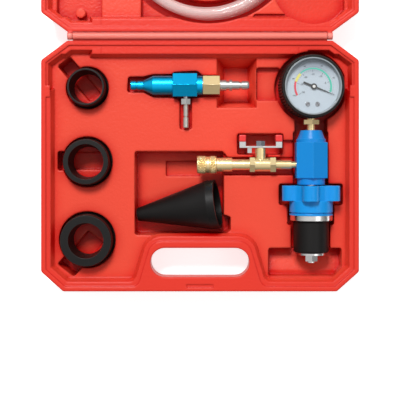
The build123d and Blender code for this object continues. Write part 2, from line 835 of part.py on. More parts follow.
with BuildPart() as latch_pin_right:
    latch_pin(latch_x)


def adapter(at, radius, bore_top, bore_bottom):
    """A tapered rubber collar with a flange at its foot."""
    plane = Plane(origin=(at[0], at[1], adapter_bottom), x_dir=(0, 0, 1), z_dir=(0, 1, 0))
    turned(plane, (
        (0, bore_bottom), (0, radius + adapter_lip), (adapter_flange, radius + adapter_lip),
        (adapter_flange, radius + adapter_lip / 2), (adapter_height - adapter_lip, radius),
        (adapter_height, radius - adapter_lip / 2), (adapter_height, bore_top),
    ))


with BuildPart() as adapter_small:
    adapter(small_at, small_radius, small_bore_top, small_bore_bottom)

with BuildPart() as adapter_medium:
    adapter(medium_at, medium_radius, adapter_bore_top, adapter_bore_bottom)

with BuildPart() as adapter_large:
    adapter(large_at, large_radius, adapter_bore_top, adapter_bore_bottom)

# The cone rests on the edge of its band, its tip on a low saddle of the pocket
heading = radians(cone_heading)
tilt = radians(cone_tilt)
band_start = cone_length - cone_band
cone_slope_share = (cone_wide_radius - cone_small_radius) / band_start
cone_tip_height = cone_floor + rest_gap + cone_wide_radius * cos(tilt) - band_start * sin(tilt)

with BuildPart() as cone_adapter:
    cone_plane = Plane(
        origin=(
            cone_mouth_x - cone_length * cos(tilt) * cos(heading),
            cone_mouth_y - cone_length * cos(tilt) * sin(heading),
            cone_tip_height,
        ),
        x_dir=(cos(tilt) * cos(heading), cos(tilt) * sin(heading), sin(tilt)),
        z_dir=(sin(heading), -cos(heading), 0),
    )
    turned(cone_plane, (
        (0, cone_bore_radius), (0, cone_small_radius),
        (band_start, cone_wide_radius), (cone_length, cone_wide_radius),
        (cone_length, cone_wide_radius - cone_wall), (band_start, cone_wide_radius - cone_wall),
        (cone_web, cone_small_radius + cone_slope_share * cone_web - cone_wall),
        (cone_web, cone_bore_radius),
    ))

# Venturi set
with BuildPart() as venturi_nozzle:
    line = Plane(origin=(0, venturi_y, axis_height), x_dir=(1, 0, 0), z_dir=(0, 0, 1))
    groove_x = tip_x + tip_length / 2
    turned(line, (
        (tip_x, venturi_bore_radius), (tip_x, tip_radius - tip_groove), (tip_x + tip_groove, tip_radius),
        (groove_x - tip_groove_width / 2, tip_radius),
        (groove_x - tip_groove_width / 2, tip_radius - tip_groove),
        (groove_x + tip_groove_width / 2, tip_radius - tip_groove),
        (groove_x + tip_groove_width / 2, tip_radius),
        (cone_nose_x, tip_radius), (nose_end_x, venturi_radius), (barrel_end_x, venturi_radius),
        (barrel_end_x, venturi_radius - tip_groove), (venturi_hex_x, venturi_radius - tip_groove),
        (venturi_hex_x, venturi_bore_radius),
    ))

with BuildPart() as venturi_body:
    hex_x(venturi_at, venturi_hex_x, venturi_hex_end_x, venturi_hex)
    rod_x(venturi_at, venturi_hex_end_x, collar_end_x, collar_radius)
    rod_x(venturi_at, venturi_hex_x, collar_end_x, venturi_bore_radius, mode=Mode.SUBTRACT)
    rod_y(side_barb_x, venturi_y - venturi_hex / 2, venturi_y, side_barb_bore, mode=Mode.SUBTRACT)

with BuildPart() as venturi_inlet:
    hex_x(venturi_at, brass_hex_x, brass_hex_end_x, brass_hex)
    rod_x(venturi_at, collar_end_x, brass_hex_x, brass_neck_radius)
    rod_x(venturi_at, brass_hex_end_x, plug_x, brass_neck_radius)
    rod_x(venturi_at, collar_end_x, plug_x, venturi_bore_radius, mode=Mode.SUBTRACT)

with BuildPart() as air_plug:
    turned(line, ((plug_x, 0),) + plug_steps + ((plug_end_x, 0),))
    rod_x(venturi_at, plug_x, plug_end_x, plug_bore_radius, mode=Mode.SUBTRACT)

with BuildPart() as side_barb:
    barb_line = Plane(
        origin=(side_barb_x, venturi_y - venturi_hex / 2, axis_height), x_dir=(0, -1, 0), z_dir=(0, 0, 1)
    )
    barb_root = venturi_y - venturi_hex / 2
    barb_run = barb_root - side_tube_end_y
    barb_groove = barb_root - side_groove_y
    turned(barb_line, (
        (0, side_barb_bore), (0, side_tube_radius), (barb_groove - side_groove_width / 2, side_tube_radius),
        (barb_groove - side_groove_width / 2, side_tube_radius - side_groove_depth),
        (barb_groove + side_groove_width / 2, side_tube_radius - side_groove_depth),
        (barb_groove + side_groove_width / 2, side_tip_radius),
        (barb_run - side_groove_depth, side_tip_radius), (barb_run, side_tip_radius - side_groove_depth),
        (barb_run, side_barb_bore),
    ))

with BuildPart() as side_barb_nut:
    hex_y(side_barb_x, side_nut_end_y, side_nut_y, side_nut_across)
    rod_y(side_barb_x, side_nut_end_y, side_nut_y, side_tube_radius, mode=Mode.SUBTRACT)

# Gauge, turned about its leaning axis
lean = radians(gauge_lean)
gauge_axis = (sin(lean), 0, cos(lean))
gauge_back = (gauge_x - boot_depth * sin(lean), gauge_y, gauge_front - boot_depth * cos(lean))
gauge_line = Plane(origin=gauge_back, x_dir=gauge_axis, z_dir=(0, 1, 0))
gauge_side = Plane(origin=gauge_back, x_dir=(cos(lean), 0, -sin(lean)), z_dir=gauge_axis)
dial_top = boot_depth - dial_drop

with BuildPart() as gauge_boot:
    turned(gauge_line, (
        (0, 0), (0, boot_radius - boot_back_round), (boot_back_round / 2, boot_radius - boot_back_round / 4),
        (boot_back_round, boot_radius), (boot_depth, boot_radius), (boot_depth, can_radius),
        (boot_back_wall, can_radius), (boot_back_wall, 0),
    ))
    rod_y(gauge_x, gauge_y - head_hex_start, gauge_y, stem_radius, mode=Mode.SUBTRACT)

with BuildPart() as gauge_case:
    turned(gauge_line, (
        (boot_back_wall, 0), (boot_back_wall, can_radius), (boot_depth - bezel_depth, can_radius),
        (boot_depth - bezel_depth, can_radius - can_wall),
        (boot_back_wall + can_wall, can_radius - can_wall),
        (boot_back_wall + can_wall, 0),
    ))

with BuildPart() as gauge_bezel:
    turned(gauge_line, (
        (boot_depth - bezel_depth, can_radius - bezel_width), (boot_depth - bezel_depth, can_radius),
        (boot_depth, can_radius), (boot_depth, can_radius - bezel_width),
    ))

with BuildPart() as gauge_lens:
    with BuildSketch(gauge_side.offset(boot_depth - lens_drop - lens_thick)):
        Circle(can_radius - bezel_width)
    extrude(amount=lens_thick)

with BuildPart() as gauge_dial:
    with BuildSketch(gauge_side.offset(dial_top - dial_thick)):
        Circle(can_radius - can_wall)
        with Locations((hub_x, hub_y)):
            Circle(hub_pin_radius + run_gap, mode=Mode.SUBTRACT)
    extrude(amount=dial_thick)

with BuildPart() as dial_screw_left:
    with BuildSketch(gauge_side.offset(dial_top)):
        with Locations((screw_left_x, screw_y)):
            Circle(screw_radius)
    extrude(amount=screw_height)

with BuildPart() as dial_screw_right:
    with BuildSketch(gauge_side.offset(dial_top)):
        with Locations((screw_right_x, screw_y)):
            Circle(screw_radius)
    extrude(amount=screw_height)

with BuildPart() as gauge_needle:
    with BuildSketch(gauge_side.offset(dial_top + needle_lift)):
        with Locations((hub_x, hub_y)):
            Polygon(
                (-needle_tail, -needle_half), (-needle_tail, needle_half), (0, needle_half),
                (needle_tip, 0), (0, -needle_half), rotation=needle_angle, align=None,
            )
            Circle(hub_radius)
            Circle(hub_pin_radius, mode=Mode.SUBTRACT)
    extrude(amount=needle_thick)

with BuildPart() as needle_hub:
    with BuildSketch(gauge_side.offset(dial_top + needle_lift + needle_thick)):
        with Locations((hub_x, hub_y)):
            Circle(hub_radius / 2)
    extrude(amount=needle_thick)
    with BuildSketch(gauge_side.offset(dial_top - dial_thick)):
        with Locations((hub_x, hub_y)):
            Circle(hub_pin_radius)
    extrude(amount=dial_thick + needle_lift + needle_thick)

with BuildPart() as gauge_stem:
    head_rod(can_radius - stem_root, head_hex_start, stem_radius)
    turned(
        gauge_line, ((0, 0), (0, can_radius), (boot_depth, can_radius), (boot_depth, 0)),
        mode=Mode.SUBTRACT,
    )
    head_hex(head_hex_start, head_hex_end, head_hex_across)
    head_rod(head_hex_end, head_neck_end, head_neck_radius)
    head_rod(can_radius - stem_root, head_neck_end, gauge_port_radius, mode=Mode.SUBTRACT)

# Filler head
head_line = Plane(origin=(head_x, gauge_y, axis_height), x_dir=(0, -1, 0), z_dir=(0, 0, 1))

with BuildPart() as head_body:
    turned(head_line, (
        (head_neck_end, 0), (head_neck_end, taper_start_radius), (taper_end, taper_end_radius),
        (taper_end, ring_radius), (ring_end, ring_radius), (ring_end, body_collar_radius),
        (body_collar_end, body_collar_radius), (body_collar_end, 0),
    ))
    head_hex(ring_end, body_hex_end, body_hex_across)
    head_rod(head_bore_end, body_collar_end, centre_tube_radius + run_gap, mode=Mode.SUBTRACT)
    head_rod(head_neck_end, head_bore_end, gauge_port_radius, mode=Mode.SUBTRACT)
    rod_x(valve_at, -body_hex_across / 2, nipple_tip_x, nipple_thin_radius, mode=Mode.SUBTRACT)
    rod_x(valve_at, nipple_tip_x, 0, valve_bore_radius, mode=Mode.SUBTRACT)

with BuildPart() as star_knob:
    knob_face = Plane(origin=(head_x, gauge_y - knob_start, axis_height), x_dir=(1, 0, 0), z_dir=(0, -1, 0))
    with BuildSketch(knob_face) as star:
        Circle(knob_hub_radius)
        with PolarLocations(lobe_centre, lobe_count, start_angle=lobe_angle):
            Circle(lobe_radius)
        fillet(star.vertices(), knob_blend)
    extrude(amount=knob_end - knob_start)
    turned(head_line, (
        (knob_end, 0), (knob_end, skirt_radius),
        (skirt_end - 2 * skirt_groove_width, skirt_radius),
        (skirt_end - 2 * skirt_groove_width, skirt_radius - skirt_groove_depth),
        (skirt_end - skirt_groove_width, skirt_radius - skirt_groove_depth),
        (skirt_end - skirt_groove_width, skirt_radius), (skirt_end, skirt_radius), (skirt_end, 0),
    ))
    head_rod(knob_start, skirt_end, centre_tube_radius + run_gap, mode=Mode.SUBTRACT)

with BuildPart() as clamp_washer:
    head_rod(skirt_end, washer_end, washer_radius)
    head_rod(skirt_end, washer_end, centre_tube_radius + run_gap, mode=Mode.SUBTRACT)

with BuildPart() as rubber_expander:
    head_rod(washer_end, expander_end, expander_radius)
    fillet(edges().filter_by(GeomType.CIRCLE), expander_round)
    head_rod(washer_end, expander_end, centre_tube_radius + run_gap, mode=Mode.SUBTRACT)

with BuildPart() as end_washer:
    head_rod(expander_end, end_washer_end, end_washer_radius)
    head_rod(expander_end, end_washer_end, centre_tube_radius, mode=Mode.SUBTRACT)

with BuildPart() as end_nut:
    head_hex(end_washer_end, end_nut_end, end_nut_across)
    head_rod(end_washer_end, end_nut_end, centre_tube_radius, mode=Mode.SUBTRACT)

with BuildPart() as centre_tube:
    head_rod(centre_tube_start, tube_end, centre_tube_radius)
    head_rod(centre_tube_start, tube_end, centre_bore_radius, mode=Mode.SUBTRACT)

# Valve and coupler
valve_line = Plane(origin=(head_x, valve_y, axis_height), x_dir=(1, 0, 0), z_dir=(0, 0, 1))

with BuildPart() as coupler_sleeve:
    turned(valve_line, (
        (sleeve_x, coupler_core_radius + run_gap), (sleeve_x, sleeve_radius),
        (sleeve_groove_x, sleeve_radius), (sleeve_groove_x, sleeve_radius - sleeve_groove_depth),
        (sleeve_groove_end_x, sleeve_radius - sleeve_groove_depth), (sleeve_groove_end_x, sleeve_radius),
        (sleeve_end_x, sleeve_radius), (sleeve_end_x, coupler_radius + run_gap),
        (sleeve_lip_x, coupler_radius + run_gap), (sleeve_lip_x, coupler_core_radius + run_gap),
    ))

with BuildPart() as coupler_body:
    turned(valve_line, (
        (coupler_mouth_x, coupler_bore_radius), (coupler_mouth_x, coupler_core_radius),
        (coupler_shoulder_x, coupler_core_radius), (coupler_shoulder_x, coupler_radius),
        (coupler_end_x, coupler_radius), (coupler_end_x, valve_bore_radius),
        (coupler_shoulder_x, valve_bore_radius), (coupler_shoulder_x, coupler_bore_radius),
    ))

with BuildPart() as valve_body:
    rod_x(valve_at, coupler_end_x, neck_end_x, neck_radius)
    hex_x(valve_at, neck_end_x, first_hex_end_x, valve_hex_across)
    rod_x(valve_at, first_hex_end_x, valve_body_end_x, valve_body_radius)
    hex_x(valve_at, valve_body_end_x, second_hex_end_x, valve_hex_across)
    rod_y(head_x + bonnet_x, valve_y, bonnet_end_y, bonnet_radius)
    rod_x(valve_at, coupler_end_x, second_hex_end_x, valve_bore_radius, mode=Mode.SUBTRACT)
    rod_y(head_x + bonnet_x, valve_y, bonnet_end_y, stem_rod_radius + run_gap, mode=Mode.SUBTRACT)
    with Locations((head_x + bonnet_x, valve_y, axis_height)):
        Sphere(ball_radius + run_gap, rotation=(0, 90, 0), mode=Mode.SUBTRACT)

with BuildPart() as valve_ball:
    with Locations((head_x + bonnet_x, valve_y, axis_height)):
        Sphere(ball_radius, rotation=(0, 90, 0))
    rod_x(valve_at, bonnet_x - ball_radius - overrun, bonnet_x + ball_radius + overrun, valve_bore_radius,
          mode=Mode.SUBTRACT)
    rod_y(
        head_x + bonnet_x, valve_y + ball_seat_y, valve_y + ball_radius + overrun, stem_rod_radius,
        mode=Mode.SUBTRACT,
    )

with BuildPart() as valve_stem:
    rod_y(head_x + bonnet_x, valve_y + ball_seat_y, handle_nut_end_y, stem_rod_radius)

with BuildPart() as valve_nipple:
    rod_x(valve_at, second_hex_end_x, nipple_end_x, nipple_radius)
    rod_x(valve_at, nipple_end_x, nipple_tip_x, nipple_thin_radius)
    rod_x(valve_at, second_hex_end_x, nipple_tip_x, valve_bore_radius, mode=Mode.SUBTRACT)

with BuildPart() as valve_handle:
    block(
        (head_x + handle_x, handle_back_y, axis_height - handle_half_height),
        (head_x + handle_end_x, handle_back_y + handle_thick, axis_height + handle_half_height),
    )
    for tab in (head_x + handle_x, head_x + handle_end_x - tab_thick):
        block(
            (tab, handle_back_y, axis_height - handle_half_height),
            (tab + tab_thick, tab_end_y, axis_height + handle_half_height),
        )
    block(
        (head_x + stop_tab_x, stop_tab_end_y, axis_height - handle_half_height),
        (head_x + stop_tab_end_x, handle_back_y, axis_height - handle_half_height + 2 * stop_tab_half),
    )
    rod_y(
        head_x + bonnet_x, handle_back_y, handle_back_y + handle_thick, stem_rod_radius,
        mode=Mode.SUBTRACT,
    )


def grip(tab):
    """A red sleeve on one bent end of the handle."""
    middle = tab + tab_thick / 2
    block(
        (middle - grip_half, grip_start_y, axis_height - grip_half_height),
        (middle + grip_half, grip_end_y, axis_height + grip_half_height),
    )
    fillet(edges(), grip_round)
    block(
        (tab, grip_start_y - overrun, axis_height - handle_half_height),
        (tab + tab_thick, tab_end_y, axis_height + handle_half_height),
        mode=Mode.SUBTRACT,
    )


with BuildPart() as handle_grip_left:
    grip(head_x + handle_x)

with BuildPart() as handle_grip_right:
    grip(head_x + handle_end_x - tab_thick)

with BuildPart() as handle_nut:
    hex_y(head_x + bonnet_x, handle_back_y + handle_thick, handle_nut_end_y, handle_nut_across)
    rod_y(
        head_x + bonnet_x, handle_back_y + handle_thick, handle_nut_end_y, stem_rod_radius,
        mode=Mode.SUBTRACT,
    )


def coil_point(turn):
    """The hose's centre after a number of turns from its lower end."""
    angle = radians(coil_start_angle) - 2 * pi * turn
    radius = coil_inner + (coil_outer - coil_inner) * abs(turn - 1)
    climb_share = min(max(2 * turn - 3 / 2, 0), 1)
    lift = coil_layer_step * climb_share ** 2 * (3 - 2 * climb_share)
    low = recess_floor + rest_gap + hose_radius
    return Vector(coil_x + radius * cos(angle), coil_y + radius * sin(angle), low + lift)


def coil_heading(turn):
    """The hose's direction there, taken evenly to both sides."""
    near_share = 1 / 1000
    return (coil_point(turn + near_share) - coil_point(turn - near_share)).normalized()


def biarc(turn, next_turn):
    """Two arcs that join two points of the coil and keep both headings."""
    start, end = coil_point(turn), coil_point(next_turn)
    leave, arrive = coil_heading(turn), coil_heading(next_turn)
    chord = end - start
    both = leave + arrive
    bend = 2 * (1 - leave.dot(arrive))
    reach = (sqrt(chord.dot(both) ** 2 + bend * chord.dot(chord)) - chord.dot(both)) / bend
    near, far = start + leave * reach, end - arrive * reach
    joint = (near + far) / 2
    TangentArc(start, joint, tangent=leave)
    TangentArc(joint, end, tangent=far - near)


with BuildPart() as fill_hose:
    with BuildLine() as hose_route:
        for quarter in range(2 * coil_quarters):
            biarc(quarter / coil_quarters, (quarter + 1) / coil_quarters)
    with BuildSketch(Plane(origin=coil_point(0), z_dir=coil_heading(0))):
        Circle(hose_radius)
        Circle(hose_radius - hose_wall, mode=Mode.SUBTRACT)
    sweep()

# Least gap of the coil to itself, between points at least half a turn apart
steps = 60
spots = [coil_point(step / steps) for step in range(2 * steps + 1)]
least = min(
    (spots[first] - spots[second]).length
    for first in range(len(spots))
    for second in range(first + steps // 2, len(spots))
)
print("hose gap to itself", round(least - 2 * hose_radius, 2), "mm")
print("hose length", round(hose_route.wire().length, 1), "mm")

for label, node in (
    ("case_base", case_base), ("case_lid", case_lid), ("hinge_rod", hinge_rod),
    ("latch_left", latch_left), ("latch_right", latch_right),
    ("latch_pin_left", latch_pin_left), ("latch_pin_right", latch_pin_right),
    ("adapter_small", adapter_small), ("adapter_medium", adapter_medium), ("adapter_large", adapter_large),
    ("cone_adapter", cone_adapter), ("venturi_nozzle", venturi_nozzle), ("venturi_body", venturi_body),
    ("venturi_inlet", venturi_inlet), ("air_plug", air_plug), ("side_barb", side_barb),
    ("side_barb_nut", side_barb_nut), ("gauge_boot", gauge_boot), ("gauge_case", gauge_case),
    ("gauge_bezel", gauge_bezel), ("gauge_lens", gauge_lens), ("gauge_dial", gauge_dial),
    ("dial_screw_left", dial_screw_left), ("dial_screw_right", dial_screw_right),
    ("gauge_needle", gauge_needle), ("needle_hub", needle_hub),
    ("gauge_stem", gauge_stem), ("head_body", head_body), ("star_knob", star_knob),
    ("clamp_washer", clamp_washer), ("rubber_expander", rubber_expander), ("end_washer", end_washer),
    ("end_nut", end_nut), ("centre_tube", centre_tube), ("coupler_sleeve", coupler_sleeve),
    ("coupler_body", coupler_body), ("valve_body", valve_body), ("valve_ball", valve_ball),
    ("valve_stem", valve_stem), ("valve_nipple", valve_nipple), ("valve_handle", valve_handle),
    ("handle_grip_left", handle_grip_left), ("handle_grip_right", handle_grip_right),
    ("handle_nut", handle_nut), ("fill_hose", fill_hose),
):
    node.part.label = label
    export_step(node.part, "parts/" + label + ".step")
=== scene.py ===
"""Looks of an opened coolant refill kit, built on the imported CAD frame."""

import json
import logging
import math
from dataclasses import dataclass, replace
from enum import Enum
from functools import cache
from typing import Iterable, Mapping, Sequence

import bmesh
import bpy
from bpy.types import Material, Mesh, Node, NodeSocket, NodeTree, Object
from mathutils import Matrix, Vector

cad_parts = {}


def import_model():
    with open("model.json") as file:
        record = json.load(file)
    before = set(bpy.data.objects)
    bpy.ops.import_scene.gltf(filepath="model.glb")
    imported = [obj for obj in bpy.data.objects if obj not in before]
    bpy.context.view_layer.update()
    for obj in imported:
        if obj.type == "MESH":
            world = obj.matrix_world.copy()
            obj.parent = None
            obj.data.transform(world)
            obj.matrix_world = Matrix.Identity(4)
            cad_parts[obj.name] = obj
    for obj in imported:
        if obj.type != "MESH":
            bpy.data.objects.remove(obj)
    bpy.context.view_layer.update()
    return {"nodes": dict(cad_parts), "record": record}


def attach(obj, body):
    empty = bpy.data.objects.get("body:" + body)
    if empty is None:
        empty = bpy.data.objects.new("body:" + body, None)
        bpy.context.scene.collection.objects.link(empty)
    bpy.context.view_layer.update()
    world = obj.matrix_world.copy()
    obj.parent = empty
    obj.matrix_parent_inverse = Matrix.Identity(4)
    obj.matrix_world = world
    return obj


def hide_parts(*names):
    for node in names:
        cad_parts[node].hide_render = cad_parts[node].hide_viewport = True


LOG = logging.getLogger("coolant_kit")
MM = 0.001
SKIN = "_skin"
NUMBER, COLOUR, VECTOR = "NodeSocketFloat", "NodeSocketColor", "NodeSocketVector"
GREY = (0.8, 0.8, 0.8, 1.0)
# What the shared effects keep fixed, among them the painted highlight at the fold, the painted shade near
# walls and in pits and the painted edge highlights; the soft reaches of pits and floors are in metres.
RAYS = 6
DRIFT_DETAIL, GRAIN_DETAIL, MARK_DETAIL = 3.0, 2.0, 4.0
FOLD_HIGHLIGHT_CORE, FOLD_HIGHLIGHT_FADE = 0.4, 1.4
WALL_SHADE_NEAR, WALL_SHADE_CLEAR = 0.42, 0.99
PIT_SHADE_SHARE, PIT_SOFT, FLOOR_SOFT = 0.65, 0.002, 0.001
EDGE_HIGHLIGHT_REACH, EDGE_HIGHLIGHT_GAIN = 2.5, 4.0
OPEN_GAIN, OPEN_SOFT, OPEN_POWER = 1.25, 0.1, 4.0
Spot = tuple[float, float]
Point = tuple[float, float, float]
Colour = tuple[float, float, float]


class Body(Enum):
    """The CAD bodies that pieces ride on."""

    HEAD = "head"
    HOSE = "hose"
    SLEEVE = "sleeve"


class Lie(Enum):
    """The direction that a turned part's tool marks run round."""

    ACROSS = (1.0, 0.0, 0.0)
    ALONG = (0.0, 1.0, 0.0)


# ---- node helpers


class Nodes:
    """A node tree under construction, with short calls for its nodes and links."""

    def __init__(self, tree: NodeTree) -> None:
        """Start work on a tree."""
        self.tree = tree

    def node(self, kind: str, **values: object) -> Node:
        """Add a node of a kind, set its properties and return it."""
        made = self.tree.nodes.new(kind)
        for key, value in values.items():
            setattr(made, key, value)
        return made

    def link(self, source: NodeSocket, target: NodeSocket) -> None:
        """Join two sockets."""
        self.tree.links.new(source, target)

    def feed(self, made: Node, values: Mapping[str, object]) -> Node:
        """Feed each labelled input of a node with a socket, number, vector or colour, and return it."""
        for label, value in values.items():
            socket = made.inputs[label]
            if isinstance(value, NodeSocket):
                self.link(value, socket)
            elif socket.type == "RGBA":
                socket.default_value = (*value[:3], 1.0)
            else:
                socket.default_value = value
        return made

    def math(self, operation: str, *values: object) -> NodeSocket:
        """Add a math node fed by sockets or numbers and return its output."""
        made = self.node("ShaderNodeMath", operation=operation)
        for socket, value in zip(made.inputs, values):
            if isinstance(value, (int, float)):
                socket.default_value = value
            else:
                self.link(value, socket)
        return made.outputs[0]

    def ramp(self, value: object, start: object, end: object, low: object = 0.0,
             high: object = 1.0) -> NodeSocket:
        """Add a smooth ramp.

        Args:
            value: the socket that it reads.
            start: where the ramp starts.
            end: where it ends.
            low: what it gives at its start.
            high: what it gives at its end.

        Returns:
            The ramp's output.
        """
        made = self.node("ShaderNodeMapRange", interpolation_type="SMOOTHSTEP")
        self.feed(made, {"Value": value, "From Min": start, "From Max": end, "To Min": low, "To Max": high})
        return made.outputs["Result"]

    def blend(self, share: object, first: object, second: object, kind: str = "RGBA") -> NodeSocket:
        """Add a mix of two colours, or of two numbers with kind FLOAT, and return its output."""
        made = self.node("ShaderNodeMix", data_type=kind)
        self.feed(made, {"Factor": share, "A": first, "B": second})
        return made.outputs["Result"]

    def dot(self, first: object, second: object) -> NodeSocket:
        """Add the dot product of two vectors and return its output."""
        made = self.node("ShaderNodeVectorMath", operation="DOT_PRODUCT")
        for socket, value in zip(made.inputs, (first, second)):
            if isinstance(value, NodeSocket):
                self.link(value, socket)
            else:
                socket.default_value = value
        return made.outputs["Value"]


class Shader(Nodes):
    """A material under construction."""

    def __init__(self, name: str) -> None:
        """Start a named material that holds only a Principled BSDF."""
        self.material = bpy.data.materials.new(name)
        self.material.use_nodes = True
        super().__init__(self.material.node_tree)
        self.tree.nodes.clear()
        output = self.node("ShaderNodeOutputMaterial")
        self.skin = self.node("ShaderNodeBsdfPrincipled")
        self.link(self.skin.outputs[0], output.inputs["Surface"])

    def place(self) -> NodeSocket:
        """Return the Object coordinates."""
        return self.node("ShaderNodeTexCoord").outputs["Object"]

    def group(self, tree: NodeTree, values: Mapping[str, object]) -> Node:
        """Place a node group, set its inputs and return its node."""
        return self.feed(self.node("ShaderNodeGroup", node_tree=tree), values)

    def bump(self, height: NodeSocket, strength: float, reach: float,
             normal: NodeSocket | None = None) -> None:
        """Bend a normal, or else the surface's own, by a height, and feed the skin with it."""
        bump = self.node("ShaderNodeBump")
        self.feed(bump, {"Strength": strength, "Distance": reach, "Height": height})
        if normal:
            self.link(normal, bump.inputs["Normal"])
        self.link(bump.outputs["Normal"], self.skin.inputs["Normal"])


class Group(Nodes):
    """A shader node group under construction."""

    def __init__(self, name: str, inputs: Sequence[tuple], outputs: Sequence[tuple[str, str]]) -> None:
        """Start a group with its sockets.

        Args:
            name: the group's name.
            inputs: label, socket type and default value of each input.
            outputs: label and socket type of each output.
        """
        super().__init__(bpy.data.node_groups.new(name, "ShaderNodeTree"))
        for label, kind, default in inputs:
            socket = self.tree.interface.new_socket(name=label, in_out="INPUT", socket_type=kind)
            if default is not None:
                socket.default_value = default
        for label, kind in outputs:
            self.tree.interface.new_socket(name=label, in_out="OUTPUT", socket_type=kind)
        self.into = self.node("NodeGroupInput").outputs
        self.out = self.node("NodeGroupOutput").inputs

    def noise(self, place: object, scale: object, detail: float) -> NodeSocket:
        """Add a noise texture over some coordinates and return its value."""
        made = self.feed(self.node("ShaderNodeTexNoise"), {"Vector": place, "Scale": scale, "Detail": detail})
        return made.outputs["Fac"]

    def axes(self, place: NodeSocket) -> bpy.types.NodeOutputs:
        """Split coordinates into X, Y and Z."""
        return self.feed(self.node("ShaderNodeSeparateXYZ"), {"Vector": place}).outputs

    def openness(self, reach: object) -> NodeSocket:
        """Return how open the space round a point is, within a reach in metres."""
        made = self.node("ShaderNodeAmbientOcclusion", samples=RAYS)
        return self.feed(made, {"Distance": reach}).outputs["AO"]


# ---- shared effects


@cache
def mottle_group() -> NodeTree:
    """Build the group that gives every finish its slow colour drift and fine grain."""
    group = Group("surface_mottle", (
        ("Place", VECTOR, None), ("Base", COLOUR, GREY), ("Drift Scale", NUMBER, 25.0),
        ("Drift Amount", NUMBER, 0.08), ("Grain Scale", NUMBER, 900.0), ("Grain Amount", NUMBER, 0.3),
        ("Roughness", NUMBER, 0.4), ("Roughness Spread", NUMBER, 0.08),
    ), (("Colour", COLOUR), ("Roughness", NUMBER), ("Height", NUMBER)))
    into, out = group.into, group.out
    drift = group.noise(into["Place"], into["Drift Scale"], DRIFT_DETAIL)
    grain = group.noise(into["Place"], into["Grain Scale"], GRAIN_DETAIL)
    centre = group.math("SUBTRACT", drift, 0.5)
    tint = group.node("ShaderNodeVectorMath", operation="SCALE")
    group.link(into["Base"], tint.inputs[0])
    group.link(group.math("MULTIPLY_ADD", centre, into["Drift Amount"], 1.0), tint.inputs["Scale"])
    group.link(tint.outputs[0], out["Colour"])
    rough = group.math("MULTIPLY_ADD", centre, into["Roughness Spread"], into["Roughness"])
    group.link(rough, out["Roughness"])
    group.link(group.math("MULTIPLY", grain, into["Grain Amount"]), out["Height"])
    return group.tree


@cache
def sheen_and_shade_group() -> NodeTree:
    """Build the group for a moulding's Colour: a painted sheen by height, a painted highlight at its fold and
    painted shade near walls and in pits.
    """
    group = Group("moulding_tone", (
        ("Place", VECTOR, None), ("Base", COLOUR, GREY), ("Low", COLOUR, GREY), ("Fold", COLOUR, GREY),
        ("Deep", COLOUR, GREY), ("Low Height", NUMBER, 0.0), ("High Height", NUMBER, 0.01),
        ("Fold Half", NUMBER, 0.004), ("Deep Reach", NUMBER, 0.014), ("Pit Height", NUMBER, -0.01),
        ("Pit Floor", NUMBER, -0.03),
    ), (("Colour", COLOUR),))
    into, axes = group.into, group.axes(group.into["Place"])
    height, fold_half = axes["Z"], into["Fold Half"]
    # Painted sheen: the low deck and its pockets take the paler Low colour, the high rim the deeper Base.
    tone = group.blend(group.ramp(height, into["Low Height"], into["High Height"]), into["Low"], into["Base"])
    # Painted highlight: a pale band along the hinge fold, either side of Y = 0.
    fold_highlight_share = group.ramp(
        group.math("ABSOLUTE", axes["Y"]), group.math("MULTIPLY", fold_half, FOLD_HIGHLIGHT_CORE),
        group.math("MULTIPLY", fold_half, FOLD_HIGHLIGHT_FADE), 1.0, 0.0,
    )
    tone = group.blend(fold_highlight_share, tone, into["Fold"])
    # Painted shade: the Deep colour darkens the moulding near walls and, between pit floor and pit height, in
    # pits.
    clear = group.ramp(group.openness(into["Deep Reach"]), WALL_SHADE_NEAR, WALL_SHADE_CLEAR)
    pit, floor = into["Pit Height"], into["Pit Floor"]
    above = group.ramp(
        height, group.math("SUBTRACT", pit, PIT_SOFT), group.math("ADD", pit, PIT_SOFT), PIT_SHADE_SHARE,
    )
    below = group.ramp(
        height, group.math("SUBTRACT", floor, FLOOR_SOFT), group.math("ADD", floor, FLOOR_SOFT), 1.0, 0.0,
    )
    open_share = group.math("MULTIPLY", clear, group.math("MAXIMUM", above, below))
    group.link(group.blend(open_share, into["Deep"], tone), group.out["Colour"])
    return group.tree


@cache
def shadow_fade_group() -> NodeTree:
    """Build the group that paints a shadow by fading one colour into another along Y, with output Colour."""
    group = Group("long_fade", (
        ("Place", VECTOR, None), ("Base", COLOUR, GREY), ("Far", COLOUR, GREY),
        ("Near Place", NUMBER, 0.0), ("Far Place", NUMBER, 0.01),
    ), (("Colour", COLOUR),))
    into, axes = group.into, group.axes(group.into["Place"])
    # Painted shadow: the Far colour takes over towards the far place.
    share = group.ramp(axes["Y"], into["Near Place"], into["Far Place"])
    group.link(group.blend(share, into["Base"], into["Far"]), group.out["Colour"])
    return group.tree


